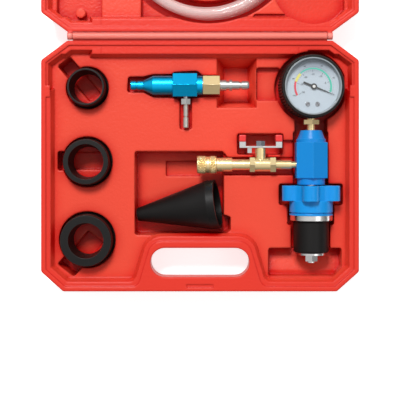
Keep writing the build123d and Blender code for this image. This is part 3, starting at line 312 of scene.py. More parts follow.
@cache
def edge_highlight_group() -> NodeTree:
    """Build the group that rounds an edge's normal and masks the edge itself for a painted highlight."""
    group = Group("edge_wear", (("Radius", NUMBER, 0.001), ("Wear", NUMBER, 0.5)),
                  (("Mask", NUMBER), ("Normal", VECTOR)))
    into, out = group.into, group.out
    soft = group.feed(group.node("ShaderNodeBevel", samples=RAYS), {"Radius": into["Radius"]})
    near = group.openness(group.math("MULTIPLY", into["Radius"], EDGE_HIGHLIGHT_REACH))
    open_share = group.math("SMOOTH_MIN", group.math("MULTIPLY", near, OPEN_GAIN), 1.0, OPEN_SOFT)
    open_share = group.math("POWER", open_share, OPEN_POWER)
    flat = group.node("ShaderNodeNewGeometry")
    turned = group.math("SUBTRACT", 1.0, group.dot(soft.outputs["Normal"], flat.outputs["Normal"]))
    bounded = group.math("MINIMUM", group.math("MULTIPLY", turned, EDGE_HIGHLIGHT_GAIN), 1.0)
    # The mask, kept to open edges, paints a highlight along them.
    group.link(group.math("MULTIPLY", group.math("MULTIPLY", bounded, open_share), into["Wear"]), out["Mask"])
    group.link(soft.outputs["Normal"], out["Normal"])
    return group.tree


@cache
def lathe_group() -> NodeTree:
    """Build the group of fine tool marks that run round a turned part."""
    group = Group("tool_marks", (
        ("Place", VECTOR, None), ("Axis", VECTOR, (1, 0, 0)), ("Scale", NUMBER, 2500.0),
        ("Depth", NUMBER, 0.3),
    ), (("Height", NUMBER),))
    into = group.into
    along = group.node("ShaderNodeCombineXYZ")
    group.link(group.dot(into["Place"], into["Axis"]), along.inputs["X"])
    marks = group.noise(along.outputs[0], into["Scale"], MARK_DETAIL)
    group.link(group.math("MULTIPLY", marks, into["Depth"]), group.out["Height"])
    return group.tree


# ---- finishes


@dataclass(frozen=True)
class Moulding:
    """How a moulding's colour changes over it: a painted sheen low down, a painted highlight at its fold and
    painted shade near walls and in pits; lengths are in metres.
    """

    low: Colour
    fold: Colour
    deep: Colour = (0.55, 0.0, 0.0)
    low_height: float = 0.0345
    high_height: float = 0.0405
    fold_half: float = 0.004
    deep_reach: float = 0.014
    pit_height: float = -0.01
    pit_floor: float = -0.03


@dataclass(frozen=True)
class ShadowFade:
    """A painted shadow: a darker colour that a finish fades into along Y; places are in metres."""

    far: Colour
    near_place: float
    far_place: float


@dataclass(frozen=True)
class Look:
    """A named look whose material is built once."""

    name: str
    colour: Colour
    roughness: float

    def make(self) -> Material:
        """Return the look's material, building it when it is first asked for."""
        found = bpy.data.materials.get(self.name + SKIN)
        if found:
            return found
        shader = Shader(self.name + SKIN)
        self.fill(shader)
        return shader.material

    def fill(self, shader: Shader) -> None:
        """Wire up a new material."""
        raise NotImplementedError


@dataclass(frozen=True)
class Finish(Look):
    """A finish with its colour, gloss and fine surface.

    Scales are in patterns a metre; edge_round and bump_reach are in metres.
    """

    metallic: float = 0.0
    drift_scale: float = 25.0
    drift: float = 0.1
    grain_scale: float = 900.0
    grain: float = 0.3
    bump: float = 0.1
    bump_reach: float = 0.0004
    spread: float = 0.1
    edge_round: float = 0.0005
    # The edge colour is a painted highlight along open edges; wear sets how strongly it shows.
    edge_colour: Colour | None = None
    wear: float = 0.5
    specular: float = 0.5
    lie: Lie | None = None
    marks: float = 0.35
    change: Moulding | ShadowFade | None = None

    def fill(self, shader: Shader) -> None:
        """Wire up a new material of this finish."""
        place = shader.place()
        base = self.colour
        # A moulding change paints sheen, a fold highlight and shade into the colour; a fade paints a shadow
        # across it.
        if self.change:
            tree = sheen_and_shade_group() if isinstance(self.change, Moulding) else shadow_fade_group()
            labels = {key.replace("_", " ").title(): value for key, value in vars(self.change).items()}
            base = shader.group(tree, {"Place": place, "Base": base, **labels}).outputs["Colour"]
        mottle = shader.group(mottle_group(), {
            "Place": place, "Base": base, "Drift Scale": self.drift_scale, "Drift Amount": self.drift,
            "Grain Scale": self.grain_scale, "Grain Amount": self.grain, "Roughness": self.roughness,
            "Roughness Spread": self.spread,
        }).outputs
        # The edge mask paints a highlight along open edges and rounds their normals.
        edge = shader.group(edge_highlight_group(), {"Radius": self.edge_round, "Wear": self.wear}).outputs
        shader.feed(shader.skin, {
            "Base Color": shader.blend(edge["Mask"], mottle["Colour"], self.edge_colour or self.colour),
            "Metallic": self.metallic, "Roughness": mottle["Roughness"], "Specular IOR Level": self.specular,
        })
        height = mottle["Height"]
        if self.lie:
            marks = shader.group(lathe_group(), {"Place": place, "Axis": self.lie.value, "Depth": self.marks})
            height = shader.math("ADD", height, marks.outputs["Height"])
        shader.bump(height, self.bump, self.bump_reach, edge["Normal"])


@dataclass(frozen=True)
class Clear(Look):
    """A clear plastic or glass, seen mostly through; bump_reach is in metres."""

    ior: float
    alpha: float
    rim_alpha: float = 0.0
    rim_blend: float = 0.35
    grain_scale: float = 300.0
    bump: float = 0.05
    bump_reach: float = 0.0003

    def fill(self, shader: Shader) -> None:
        """Wire up a new material of this clear stuff."""
        alpha = self.alpha
        if self.rim_alpha:
            facing = shader.feed(shader.node("ShaderNodeLayerWeight"), {"Blend": self.rim_blend})
            alpha = shader.ramp(facing.outputs["Facing"], 0.0, 1.0, self.alpha, self.rim_alpha)
        mottle = shader.group(mottle_group(), {
            "Place": shader.place(), "Grain Scale": self.grain_scale, "Roughness": self.roughness,
            "Roughness Spread": self.roughness / 2,
        }).outputs
        shader.feed(shader.skin, {
            "Base Color": self.colour, "IOR": self.ior, "Alpha": alpha, "Roughness": mottle["Roughness"],
        })
        shader.bump(mottle["Height"], self.bump, self.bump_reach)


# Every edge colour below is a painted highlight along open edges.
# Red moulding: the paler low colour is a painted sheen on the deck, the fold colour a painted highlight along
# the hinge and the deep colour painted shade near walls.
RED_CASE = Finish("red_case", (0.71, 0.038, 0.022), 0.34, drift_scale=7, grain_scale=380,
                  grain=0.8, bump=0.8, spread=0.14, edge_round=0.003, edge_colour=(0.85, 0.1, 0.07),
                  wear=0.15, specular=0.2, change=Moulding((0.76, 0.066, 0.036), (0.84, 0.19, 0.15)))
# The lid also paints shade into its pockets, between pit floor and pit height.
RED_LID = replace(RED_CASE, name="red_lid", change=Moulding(
    (0.76, 0.066, 0.036), (0.86, 0.24, 0.2), pit_height=0.0305, pit_floor=0.0205,
))
RED_LATCH = Finish("red_latch", (0.71, 0.018, 0.004), 0.34, drift_scale=7, grain_scale=620,
                   grain=0.6, bump=0.3, spread=0.14, edge_round=0.001, edge_colour=(0.92, 0.13, 0.09),
                   specular=0.4)
BRIGHT_STEEL = Finish("bright_steel", (0.72, 0.71, 0.7), 0.22, metallic=1.0, drift=0.2,
                      grain_scale=1500, bump=0.08, spread=0.2, edge_round=0.0003,
                      edge_colour=(0.92, 0.91, 0.9))
TURNED_STEEL = replace(BRIGHT_STEEL, name="turned_steel", colour=(0.5, 0.5, 0.48), roughness=0.24,
                       metallic=0.75, bump=0.15, lie=Lie.ACROSS)
BARB_STEEL = replace(TURNED_STEEL, name="barb_steel", colour=(0.52, 0.48, 0.44), edge_colour=None,
                     lie=Lie.ALONG)
BEZEL_STEEL = replace(BRIGHT_STEEL, name="bezel_steel", colour=(0.3, 0.33, 0.35), roughness=0.4,
                      metallic=0.9, edge_round=0.0002, edge_colour=(0.5, 0.52, 0.54))
DARK_STEEL = Finish("dark_steel", (0.34, 0.35, 0.38), 0.22, metallic=0.95, drift=0.3,
                    edge_round=0.0003, edge_colour=(0.7, 0.7, 0.74))
BLACK_RUBBER = Finish("black_rubber", (0.006, 0.0052, 0.005), 0.44, drift_scale=40, drift=0.3,
                      grain_scale=1400, grain=0.6, bump=0.2, spread=0.2, edge_round=0.0006,
                      edge_colour=(0.14, 0.13, 0.12), specular=0.2)
CYAN_METAL = Finish("cyan_anodised", (0.003, 0.5, 0.92), 0.24, metallic=0.88, drift=0.12,
                    grain_scale=1300, bump=0.12, spread=0.15, edge_round=0.0004, lie=Lie.ACROSS,
                    marks=0.25, edge_colour=(0.01, 0.7, 1.0), wear=0.2)
BRASS = Finish("brass", (0.86, 0.67, 0.35), 0.24, metallic=0.75, drift=0.16, grain_scale=1200,
               bump=0.12, spread=0.2, edge_round=0.0003, lie=Lie.ACROSS, marks=0.25,
               edge_colour=(1.0, 0.93, 0.74))
BRASS_KNURL = replace(BRASS, name="brass_knurl", edge_round=0.00008, wear=0.0, roughness=0.3)
BLUE_PLASTIC = Finish("blue_plastic", (0.0, 0.22, 0.61), 0.34, grain_scale=700,
                      bump=0.12, spread=0.15, edge_round=0.0009, edge_colour=(0.03, 0.42, 0.9),
                      specular=0.35)
BLUE_KNOB = replace(BLUE_PLASTIC, name="blue_knob", colour=(0.0, 0.26, 0.69))
# The dial darkens towards its top: a painted shadow of the bezel.
DIAL_FACE = Finish("dial_face", (0.45, 0.52, 0.58), 0.6, drift=0.03, drift_scale=60, bump=0.02,
                   change=ShadowFade((0.2, 0.245, 0.3), -0.046, -0.027))
BLACK_METAL = Finish("black_metal", (0.012, 0.012, 0.013), 0.35, edge_round=0.0002)
PALE_CAP = Finish("pale_cap", (0.72, 0.72, 0.7), 0.35, metallic=0.4, edge_round=0.0002)
RED_GRIP = Finish("red_grip", (0.74, 0.02, 0.02), 0.38, edge_round=0.0012,
                  edge_colour=(0.97, 0.5, 0.45), wear=0.7)
PRINT_RED = Finish("print_red", (0.7, 0.04, 0.07), 0.6, drift=0.05, bump=0.02)
PRINT_YELLOW = replace(PRINT_RED, name="print_yellow", colour=(0.7, 0.64, 0.14))
PRINT_GREEN = replace(PRINT_RED, name="print_green", colour=(0.05, 0.5, 0.36))
PRINT_BLACK = replace(PRINT_RED, name="print_black", colour=(0.025, 0.025, 0.03))
LENS = Clear("clear_lens", (1.0, 1.0, 1.0), 0.03, 1.45, 0.025)
# The hose's pink tint is painted light: the red case seen through the clear tube.
VINYL = Clear("clear_vinyl", (1.0, 0.8, 0.77), 0.08, 1.7, 0.24, rim_alpha=0.56)
SLOT_FINISH: dict[str, Look] = {
    finish.name: finish for finish in (
        RED_CASE, BRIGHT_STEEL, BLACK_RUBBER, CYAN_METAL, BRASS, BLUE_PLASTIC, DIAL_FACE, BLACK_METAL,
        RED_GRIP, LENS, VINYL,
    )
}
NODE_FINISH: dict[str, Look] = {
    "needle_hub": PALE_CAP, "star_knob": BLUE_KNOB, "gauge_bezel": BEZEL_STEEL, "gauge_case": BEZEL_STEEL,
    "dial_screw_left": DARK_STEEL, "dial_screw_right": DARK_STEEL, "handle_nut": DARK_STEEL,
    "air_plug": TURNED_STEEL, "side_barb": BARB_STEEL, "case_lid": RED_LID, "latch_left": RED_LATCH,
    "latch_right": RED_LATCH,
}


# ---- mesh helpers

SHARP_EDGE = math.radians(35)
SAME_POINT = 1e-7


def put(name: str, data: bpy.types.ID) -> Object:
    """Add an object that holds some data to the scene and return it."""
    made = bpy.data.objects.new(name, data)
    bpy.context.scene.collection.objects.link(made)
    return made


def mesh_from(holder: Object) -> Mesh:
    """Return an object's evaluated shape as a plain mesh, and remove the object."""
    mesh = bpy.data.meshes.new_from_object(holder.evaluated_get(bpy.context.evaluated_depsgraph_get()))
    bpy.data.objects.remove(holder)
    return mesh


def wear(obj: Object, material: Material) -> None:
    """Put one material on an object."""
    obj.data.materials.clear()
    obj.data.materials.append(material)


def settle(name: str, mesh: Mesh, finish: Look, body: Body) -> Object:
    """Turn a finished mesh into a piece that rides on a body.

    Args:
        name: the piece's name.
        finish: what it is made of.
        body: what it moves with.

    Returns:
        The new piece.
    """
    piece = put(name, mesh)
    wear(piece, finish.make())
    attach(piece, body.value)
    LOG.info("built %s on %s", name, body.value)
    return piece


def mesh_of(name: str, points: Sequence[Point], faces: Sequence[Sequence[int]], smooth: bool) -> Mesh:
    """Make a mesh with outward faces from points in millimetres.

    Args:
        name: the mesh's name.
        points: its corner points.
        faces: its faces, as indices of points.
        smooth: whether its faces shade smoothly across its blunter edges.

    Returns:
        The mesh, in metres.
    """
    mesh = bpy.data.meshes.new(name)
    mesh.from_pydata([tuple(c * MM for c in p) for p in points], [], [tuple(f) for f in faces])
    shape = bmesh.new()
    shape.from_mesh(mesh)
    bmesh.ops.remove_doubles(shape, verts=shape.verts, dist=SAME_POINT)
    bmesh.ops.recalc_face_normals(shape, faces=shape.faces)
    for face in shape.faces:
        face.smooth = smooth
    for edge in shape.edges:
        edge.smooth = len(edge.link_faces) == 2 and edge.calc_face_angle(0.0) < SHARP_EDGE
    shape.to_mesh(mesh)
    shape.free()
    return mesh


def frame_matrix(origin: Sequence[float], across: Sequence[float], up: Sequence[float]) -> Matrix:
    """Return the matrix of a local frame in millimetres, given its origin and its X and Z directions."""
    x_dir, z_dir = Vector(across).normalized(), Vector(up).normalized()
    y_dir = z_dir.cross(x_dir)
    matrix = Matrix((x_dir, y_dir, z_dir)).transposed().to_4x4()
    matrix.translation = Vector(origin)
    return matrix


def quads(rings: int, count: int, closed: bool) -> list[tuple[int, ...]]:
    """Return the faces between neighbouring rings of points; closed joins the last ring to the first."""
    return [
        (ring * count + spot, ring * count + (spot + 1) % count,
         (ring + 1) % rings * count + (spot + 1) % count, (ring + 1) % rings * count + spot)
        for ring in range(rings if closed else rings - 1) for spot in range(count)
    ]


def turned_mesh(name: str, profile: Sequence[Spot], place: Matrix, sides: int) -> Mesh:
    """Turn a closed profile of (along, radius) points, none on the axis, about a frame's Z axis."""
    points = []
    for side in range(sides):
        angle = 2 * math.pi * side / sides
        for along, radius in profile:
            local = Vector((radius * math.cos(angle), radius * math.sin(angle), along))
            points.append(tuple(place @ local))
    return mesh_of(name, points, quads(sides, len(profile), True), True)


def plate_mesh(name: str, outline: Sequence[Spot], low: float, high: float, place: Matrix,
               round_by: float = 0.0) -> Mesh:
    """Make a flat plate between two heights of a local frame.

    Args:
        name: the mesh's name.
        outline: its corner points in the local frame, counter-clockwise.
        low: the height of its lower face.
        high: the height of its upper face.
        place: the local frame.
        round_by: how far its edges are rounded, in millimetres.

    Returns:
        The mesh.
    """
    count = len(outline)
    points = [tuple(place @ Vector((x, y, low))) for x, y in outline]
    points += [tuple(place @ Vector((x, y, high))) for x, y in outline]
    faces = [tuple(reversed(range(count))), tuple(range(count, 2 * count))]
    faces += [(i, (i + 1) % count, (i + 1) % count + count, i + count) for i in range(count)]
    mesh = mesh_of(name, points, faces, False)
    if round_by:
        shape = bmesh.new()
        shape.from_mesh(mesh)
        bmesh.ops.bevel(shape, geom=list(shape.edges), offset=round_by * MM, segments=2, affect="EDGES")
        shape.to_mesh(mesh)
        shape.free()
    return mesh


def bar_outline(start: float, end: float, half: float) -> tuple[Spot, ...]:
    """Return the corners of a bar along X with a half width."""
    return (start, -half), (end, -half), (end, half), (start, half)


def joined(name: str, meshes: Iterable[Mesh]) -> Mesh:
    """Join several meshes into one new mesh and return it."""
    shape = bmesh.new()
    for mesh in meshes:
        shape.from_mesh(mesh)
    whole = bpy.data.meshes.new(name)
    shape.to_mesh(whole)
    shape.free()
    return whole


class RingOfStuds:
    """A Geometry Nodes tree that sets one shape in rows round an axis, for knurls, ribs and ticks."""

    NAME = "studs_round_axis"
    TURN = "turn"
    INPUTS = (
        ("Count", "NodeSocketInt", 24), ("Rows", "NodeSocketInt", 1), ("Radius", NUMBER, 0.01),
        ("Pitch", NUMBER, 0.001), ("Start", NUMBER, 0.0), ("Sweep", NUMBER, 6.0),
        ("Stagger", NUMBER, 0.0),
    )

    def tree(self) -> NodeTree:
        """Build the tree once and return it."""
        if self.NAME in bpy.data.node_groups:
            return bpy.data.node_groups[self.NAME]
        nodes = Nodes(bpy.data.node_groups.new(self.NAME, "GeometryNodeTree"))
        face, node, link, calc = nodes.tree.interface, nodes.node, nodes.link, nodes.math
        face.new_socket(name="Geometry", in_out="INPUT", socket_type="NodeSocketGeometry")
        for label, kind, default in self.INPUTS:
            face.new_socket(name=label, in_out="INPUT", socket_type=kind).default_value = default
        face.new_socket(name="Material", in_out="INPUT", socket_type="NodeSocketMaterial")
        face.new_socket(name="Geometry", in_out="OUTPUT", socket_type="NodeSocketGeometry")
        into, out = node("NodeGroupInput").outputs, node("NodeGroupOutput")
        index = node("GeometryNodeInputIndex").outputs[0]
        row = calc("FLOOR", calc("DIVIDE", index, into["Count"]))
        step = calc("MODULO", index, into["Count"])
        share = calc("DIVIDE", step, calc("MAXIMUM", calc("SUBTRACT", into["Count"], 1.0), 1.0))
        shift = calc("MULTIPLY", calc("MODULO", row, 2.0), into["Stagger"])
        angle = calc("ADD", calc("MULTIPLY_ADD", share, into["Sweep"], into["Start"]), shift)
        spot = node("ShaderNodeCombineXYZ")
        link(calc("MULTIPLY", calc("COSINE", angle), into["Radius"]), spot.inputs["X"])
        link(calc("MULTIPLY", calc("SINE", angle), into["Radius"]), spot.inputs["Y"])
        link(calc("MULTIPLY", row, into["Pitch"]), spot.inputs["Z"])
        turn = node("ShaderNodeCombineXYZ")
        link(angle, turn.inputs["Z"])
        line = node("GeometryNodeMeshLine")
        link(calc("MULTIPLY", into["Count"], into["Rows"]), line.inputs["Count"])
        held = node("GeometryNodeStoreNamedAttribute", data_type="FLOAT_VECTOR")
        nodes.feed(held, {"Name": self.TURN, "Geometry": line.outputs[0], "Value": turn.outputs[0]})
        moved = node("GeometryNodeSetPosition")
        nodes.feed(moved, {"Geometry": held.outputs[0], "Position": spot.outputs[0]})
        read = node("GeometryNodeInputNamedAttribute", data_type="FLOAT_VECTOR")
        nodes.feed(read, {"Name": self.TURN})
        spread = node("GeometryNodeInstanceOnPoints")
        nodes.feed(spread, {
            "Points": moved.outputs[0], "Instance": into["Geometry"], "Rotation": read.outputs["Attribute"],
        })
        real = node("GeometryNodeRealizeInstances")
        link(spread.outputs[0], real.inputs[0])
        paint = node("GeometryNodeSetMaterial")
        nodes.feed(paint, {"Geometry": real.outputs[0], "Material": into["Material"]})
        link(paint.outputs[0], out.inputs[0])
        return nodes.tree

    def make(self, name: str, stud: Mesh, finish: Finish, place: Matrix, **sizes: float) -> Mesh:
        """Run the tree on one stud and return the result as a plain mesh.

        Args:
            name: the mesh's name.
            stud: the shape to repeat, with +X away from the axis and +Z along it.
            finish: what it is made of.
            place: the frame whose Z is the axis, in millimetres.
            sizes: values for the tree's inputs, lengths in metres and angles in radians.
        """
        tree = self.tree()
        holder = put(name + "_maker", stud)
        modifier = holder.modifiers.new("studs", "NODES")
        modifier.node_group = tree
        keys = {
            item.name: item.identifier for item in tree.interface.items_tree
            if item.item_type == "SOCKET" and item.in_out == "INPUT"
        }
        for label, value in sizes.items():
            modifier[keys[label.title()]] = value
        modifier[keys["Material"]] = finish.make()
        mesh = mesh_from(holder)
        mesh.name = name
        if self.TURN in mesh.attributes:
            mesh.attributes.remove(mesh.attributes[self.TURN])
        scaled = place.copy()
        scaled.translation = place.translation * MM
        mesh.transform(scaled)
        return mesh


# ---- stage


@dataclass(frozen=True)
class Lamp:
    """A square area lamp; its side is in metres and its power in watts."""

    name: str
    place: Point
    side: float
    power: float
    aim: Point = (0.0, -0.12, 0.03)

    def build(self) -> None:
        """Hang the lamp and turn it to its aim."""
        data = bpy.data.lights.new(self.name, "AREA")
        data.size = self.side
        data.energy = self.power
        lamp = put(self.name, data)
        lamp.location = self.place
        lamp.rotation_euler = (Vector(self.aim) - Vector(self.place)).to_track_quat("-Z", "Y").to_euler()


@dataclass(frozen=True)
class Stage:
    """Camera, lamps, world and floor."""

    camera_place: Point = (0.0, -0.1317, 0.972)
    lens: float = 80.65
    sensor: float = 36.0
    clip_start: float = 0.01
    shift_up: float = -0.0925
    lamps: tuple[Lamp, ...] = (Lamp("key", (-0.4, 1.3, 2.2), 0.7, 64), Lamp("fill", (1.2, -0.4, 1.8), 0.9, 3))
    floor_half: float = 3.0
    floor_colour: Colour = (0.9, 0.9, 0.9)
    floor_roughness: float = 0.8
    floor_specular: float = 0.1
    floor_lift: float = 0.7
    world_diffuse: float = 0.5
    world_low: float = 0.2
    world_high: float = 1.0
    world_start: float = -0.1
    world_tilt: Point = (-0.1, 0.35, 0.93)

    def camera(self) -> None:
        data = bpy.data.cameras.new("view")
        data.lens = self.lens
        data.sensor_width = self.sensor
        data.shift_y = self.shift_up
        data.clip_start = self.clip_start
        eye = put("view", data)
        eye.location = self.camera_place
        bpy.context.scene.camera = eye

    def world(self) -> None:
        """Make a pale studio world that is plain white where the camera looks straight at it."""
        world = bpy.data.worlds.new("studio")
        world.use_nodes = True
        nodes = Nodes(world.node_tree)
        nodes.tree.nodes.clear()
        sky = nodes.node("ShaderNodeBackground")
        nodes.link(sky.outputs[0], nodes.node("ShaderNodeOutputWorld").inputs["Surface"])
        ray = nodes.node("ShaderNodeLightPath").outputs
        lean = nodes.dot(nodes.node("ShaderNodeTexCoord").outputs["Generated"], self.world_tilt)
        bright = nodes.ramp(lean, self.world_start, 1.0, self.world_low, self.world_high)
        shiny = nodes.blend(ray["Is Glossy Ray"], self.world_diffuse, bright, "FLOAT")
        seen = nodes.math("MAXIMUM", ray["Is Camera Ray"], ray["Is Transmission Ray"])
        nodes.link(nodes.blend(seen, shiny, 1.0, "FLOAT"), sky.inputs["Strength"])
        bpy.context.scene.world = world

    def floor(self) -> None:
        half = self.floor_half
        mesh = bpy.data.meshes.new("floor")
        corners = [(-half, -half, 0), (half, -half, 0), (half, half, 0), (-half, half, 0)]
        mesh.from_pydata(corners, [], [(0, 1, 2, 3)])
        shader = Shader("floor_white")
        ray = shader.node("ShaderNodeLightPath").outputs
        either = shader.math("MAXIMUM", ray["Is Glossy Ray"], ray["Is Transmission Ray"])
        seen = shader.math("MAXIMUM", ray["Is Camera Ray"], either)
        shader.feed(shader.skin, {
            "Base Color": self.floor_colour, "Roughness": self.floor_roughness,
            "Specular IOR Level": self.floor_specular, "Emission Color": (1.0, 1.0, 1.0),
            "Emission Strength": shader.math("MULTIPLY", seen, self.floor_lift),
        })
        floor = put("floor", mesh)
        wear(floor, shader.material)

    def build(self) -> None:
        """Make the world, the lamps and the floor."""
        bpy.context.scene.view_settings.view_transform = "Standard"
        self.world()
        for lamp in self.lamps:
            lamp.build()
        self.floor()


# ---- the hose


@dataclass(frozen=True)
class FillHose:
    """The clear hose, coiled in the lid in two layers; lengths are in millimetres."""

    centre: Spot = (8.3, 113.1)
    outer: float = 92.5
    inner: float = 79.5
    low: float = 8.65
    layer_step: float = 12.6
    climb_start: float = 0.75
    climb_turns: float = 0.5
    start_angle: float = 90.0
    turns: int = 2
    points_a_turn: int = 32
    order: int = 3
    resolution: int = 4
    radius: float = 6.0
    bore: float = 4.2
    sides: int = 28

    def point(self, turn: float) -> Point:
        """Return the hose's centre after a number of turns, in metres."""
        angle = math.radians(self.start_angle) - 2 * math.pi * turn
        radius = self.inner + (self.outer - self.inner) * abs(turn - 1)
        climb = min(max((turn - self.climb_start) / self.climb_turns, 0.0), 1.0)
        height = self.low + self.layer_step * climb**2 * (3 - 2 * climb)
        return (
            (self.centre[0] + radius * math.cos(angle)) * MM,
            (self.centre[1] + radius * math.sin(angle)) * MM,
            height * MM,
        )

    def line(self) -> list[Vector]:
        """Return the points of the smooth line through the coil, read from its NURBS spline."""
        curve = bpy.data.curves.new("hose_line", "CURVE")
        curve.dimensions = "3D"
        spline = curve.splines.new("NURBS")
        count = self.turns * self.points_a_turn
        spline.points.add(count)
        for step, knot in enumerate(spline.points):
            knot.co = (*self.point(step / self.points_a_turn), 1.0)
        spline.order_u = self.order
        spline.use_endpoint_u = True
        spline.resolution_u = self.resolution
        mesh = mesh_from(put("hose_line", curve))
        points = [vertex.co.copy() for vertex in mesh.vertices]
        bpy.data.meshes.remove(mesh)
        return points

    def tube(self, line: Sequence[Vector]) -> Mesh:
        """Return the hollow tube round a line of points in metres."""
        points, faces, sides = [], [], self.sides
        for step, spot in enumerate(line):
            ahead = line[min(step + 1, len(line) - 1)] - line[max(step - 1, 0)]
            side = ahead.normalized().cross(Vector((0, 0, 1))).normalized()
            rise = side.cross(ahead.normalized())
            for radius in (self.radius, self.bore):
                for turn in range(sides):
                    angle = 2 * math.pi * turn / sides
                    reach = side * (radius * math.cos(angle)) + rise * (radius * math.sin(angle))
                    points.append(tuple(spot / MM + reach))
        span = 2 * sides
        for step in range(len(line) - 1):
            for turn in range(sides):
                near, beside = step * span + turn, step * span + (turn + 1) % sides
                faces.append((near, beside, beside + span, near + span))
                faces.append((near + sides, near + sides + span, beside + sides + span, beside + sides))
        for end in (0, (len(line) - 1) * span):
            for turn in range(sides):
                beside = (turn + 1) % sides
                faces.append((end + turn, end + beside, end + sides + beside, end + sides + turn))
        return mesh_of("hose_tube", points, faces, True)

    def build(self) -> None:
        line = self.line()
        hose = settle("hose_tube", self.tube(line), VINYL, Body.HOSE)
        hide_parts("fill_hose")
        length = sum((b - a).length for a, b in zip(line, line[1:]))
        tuple(line[0])
        [tuple(p) for p in line]


# ---- the gauge


@dataclass(frozen=True)
class Band:
    """One printed band of the scale; angles are in degrees, lengths in millimetres."""

    name: str
    finish: Finish
    start: float
    end: float
    inward: float
    outward: float
    swell: float = 0.0


@dataclass(frozen=True)
class Ticks:
    """One ring of printed ticks; lengths are in millimetres."""

    count: int
    low: float
    high: float
    half: float


@dataclass(frozen=True)
class Numbers:
    """One ring of printed numbers; lengths are in millimetres."""

    count: int
    rise: int
    radius: float
    size: float
    spans: float


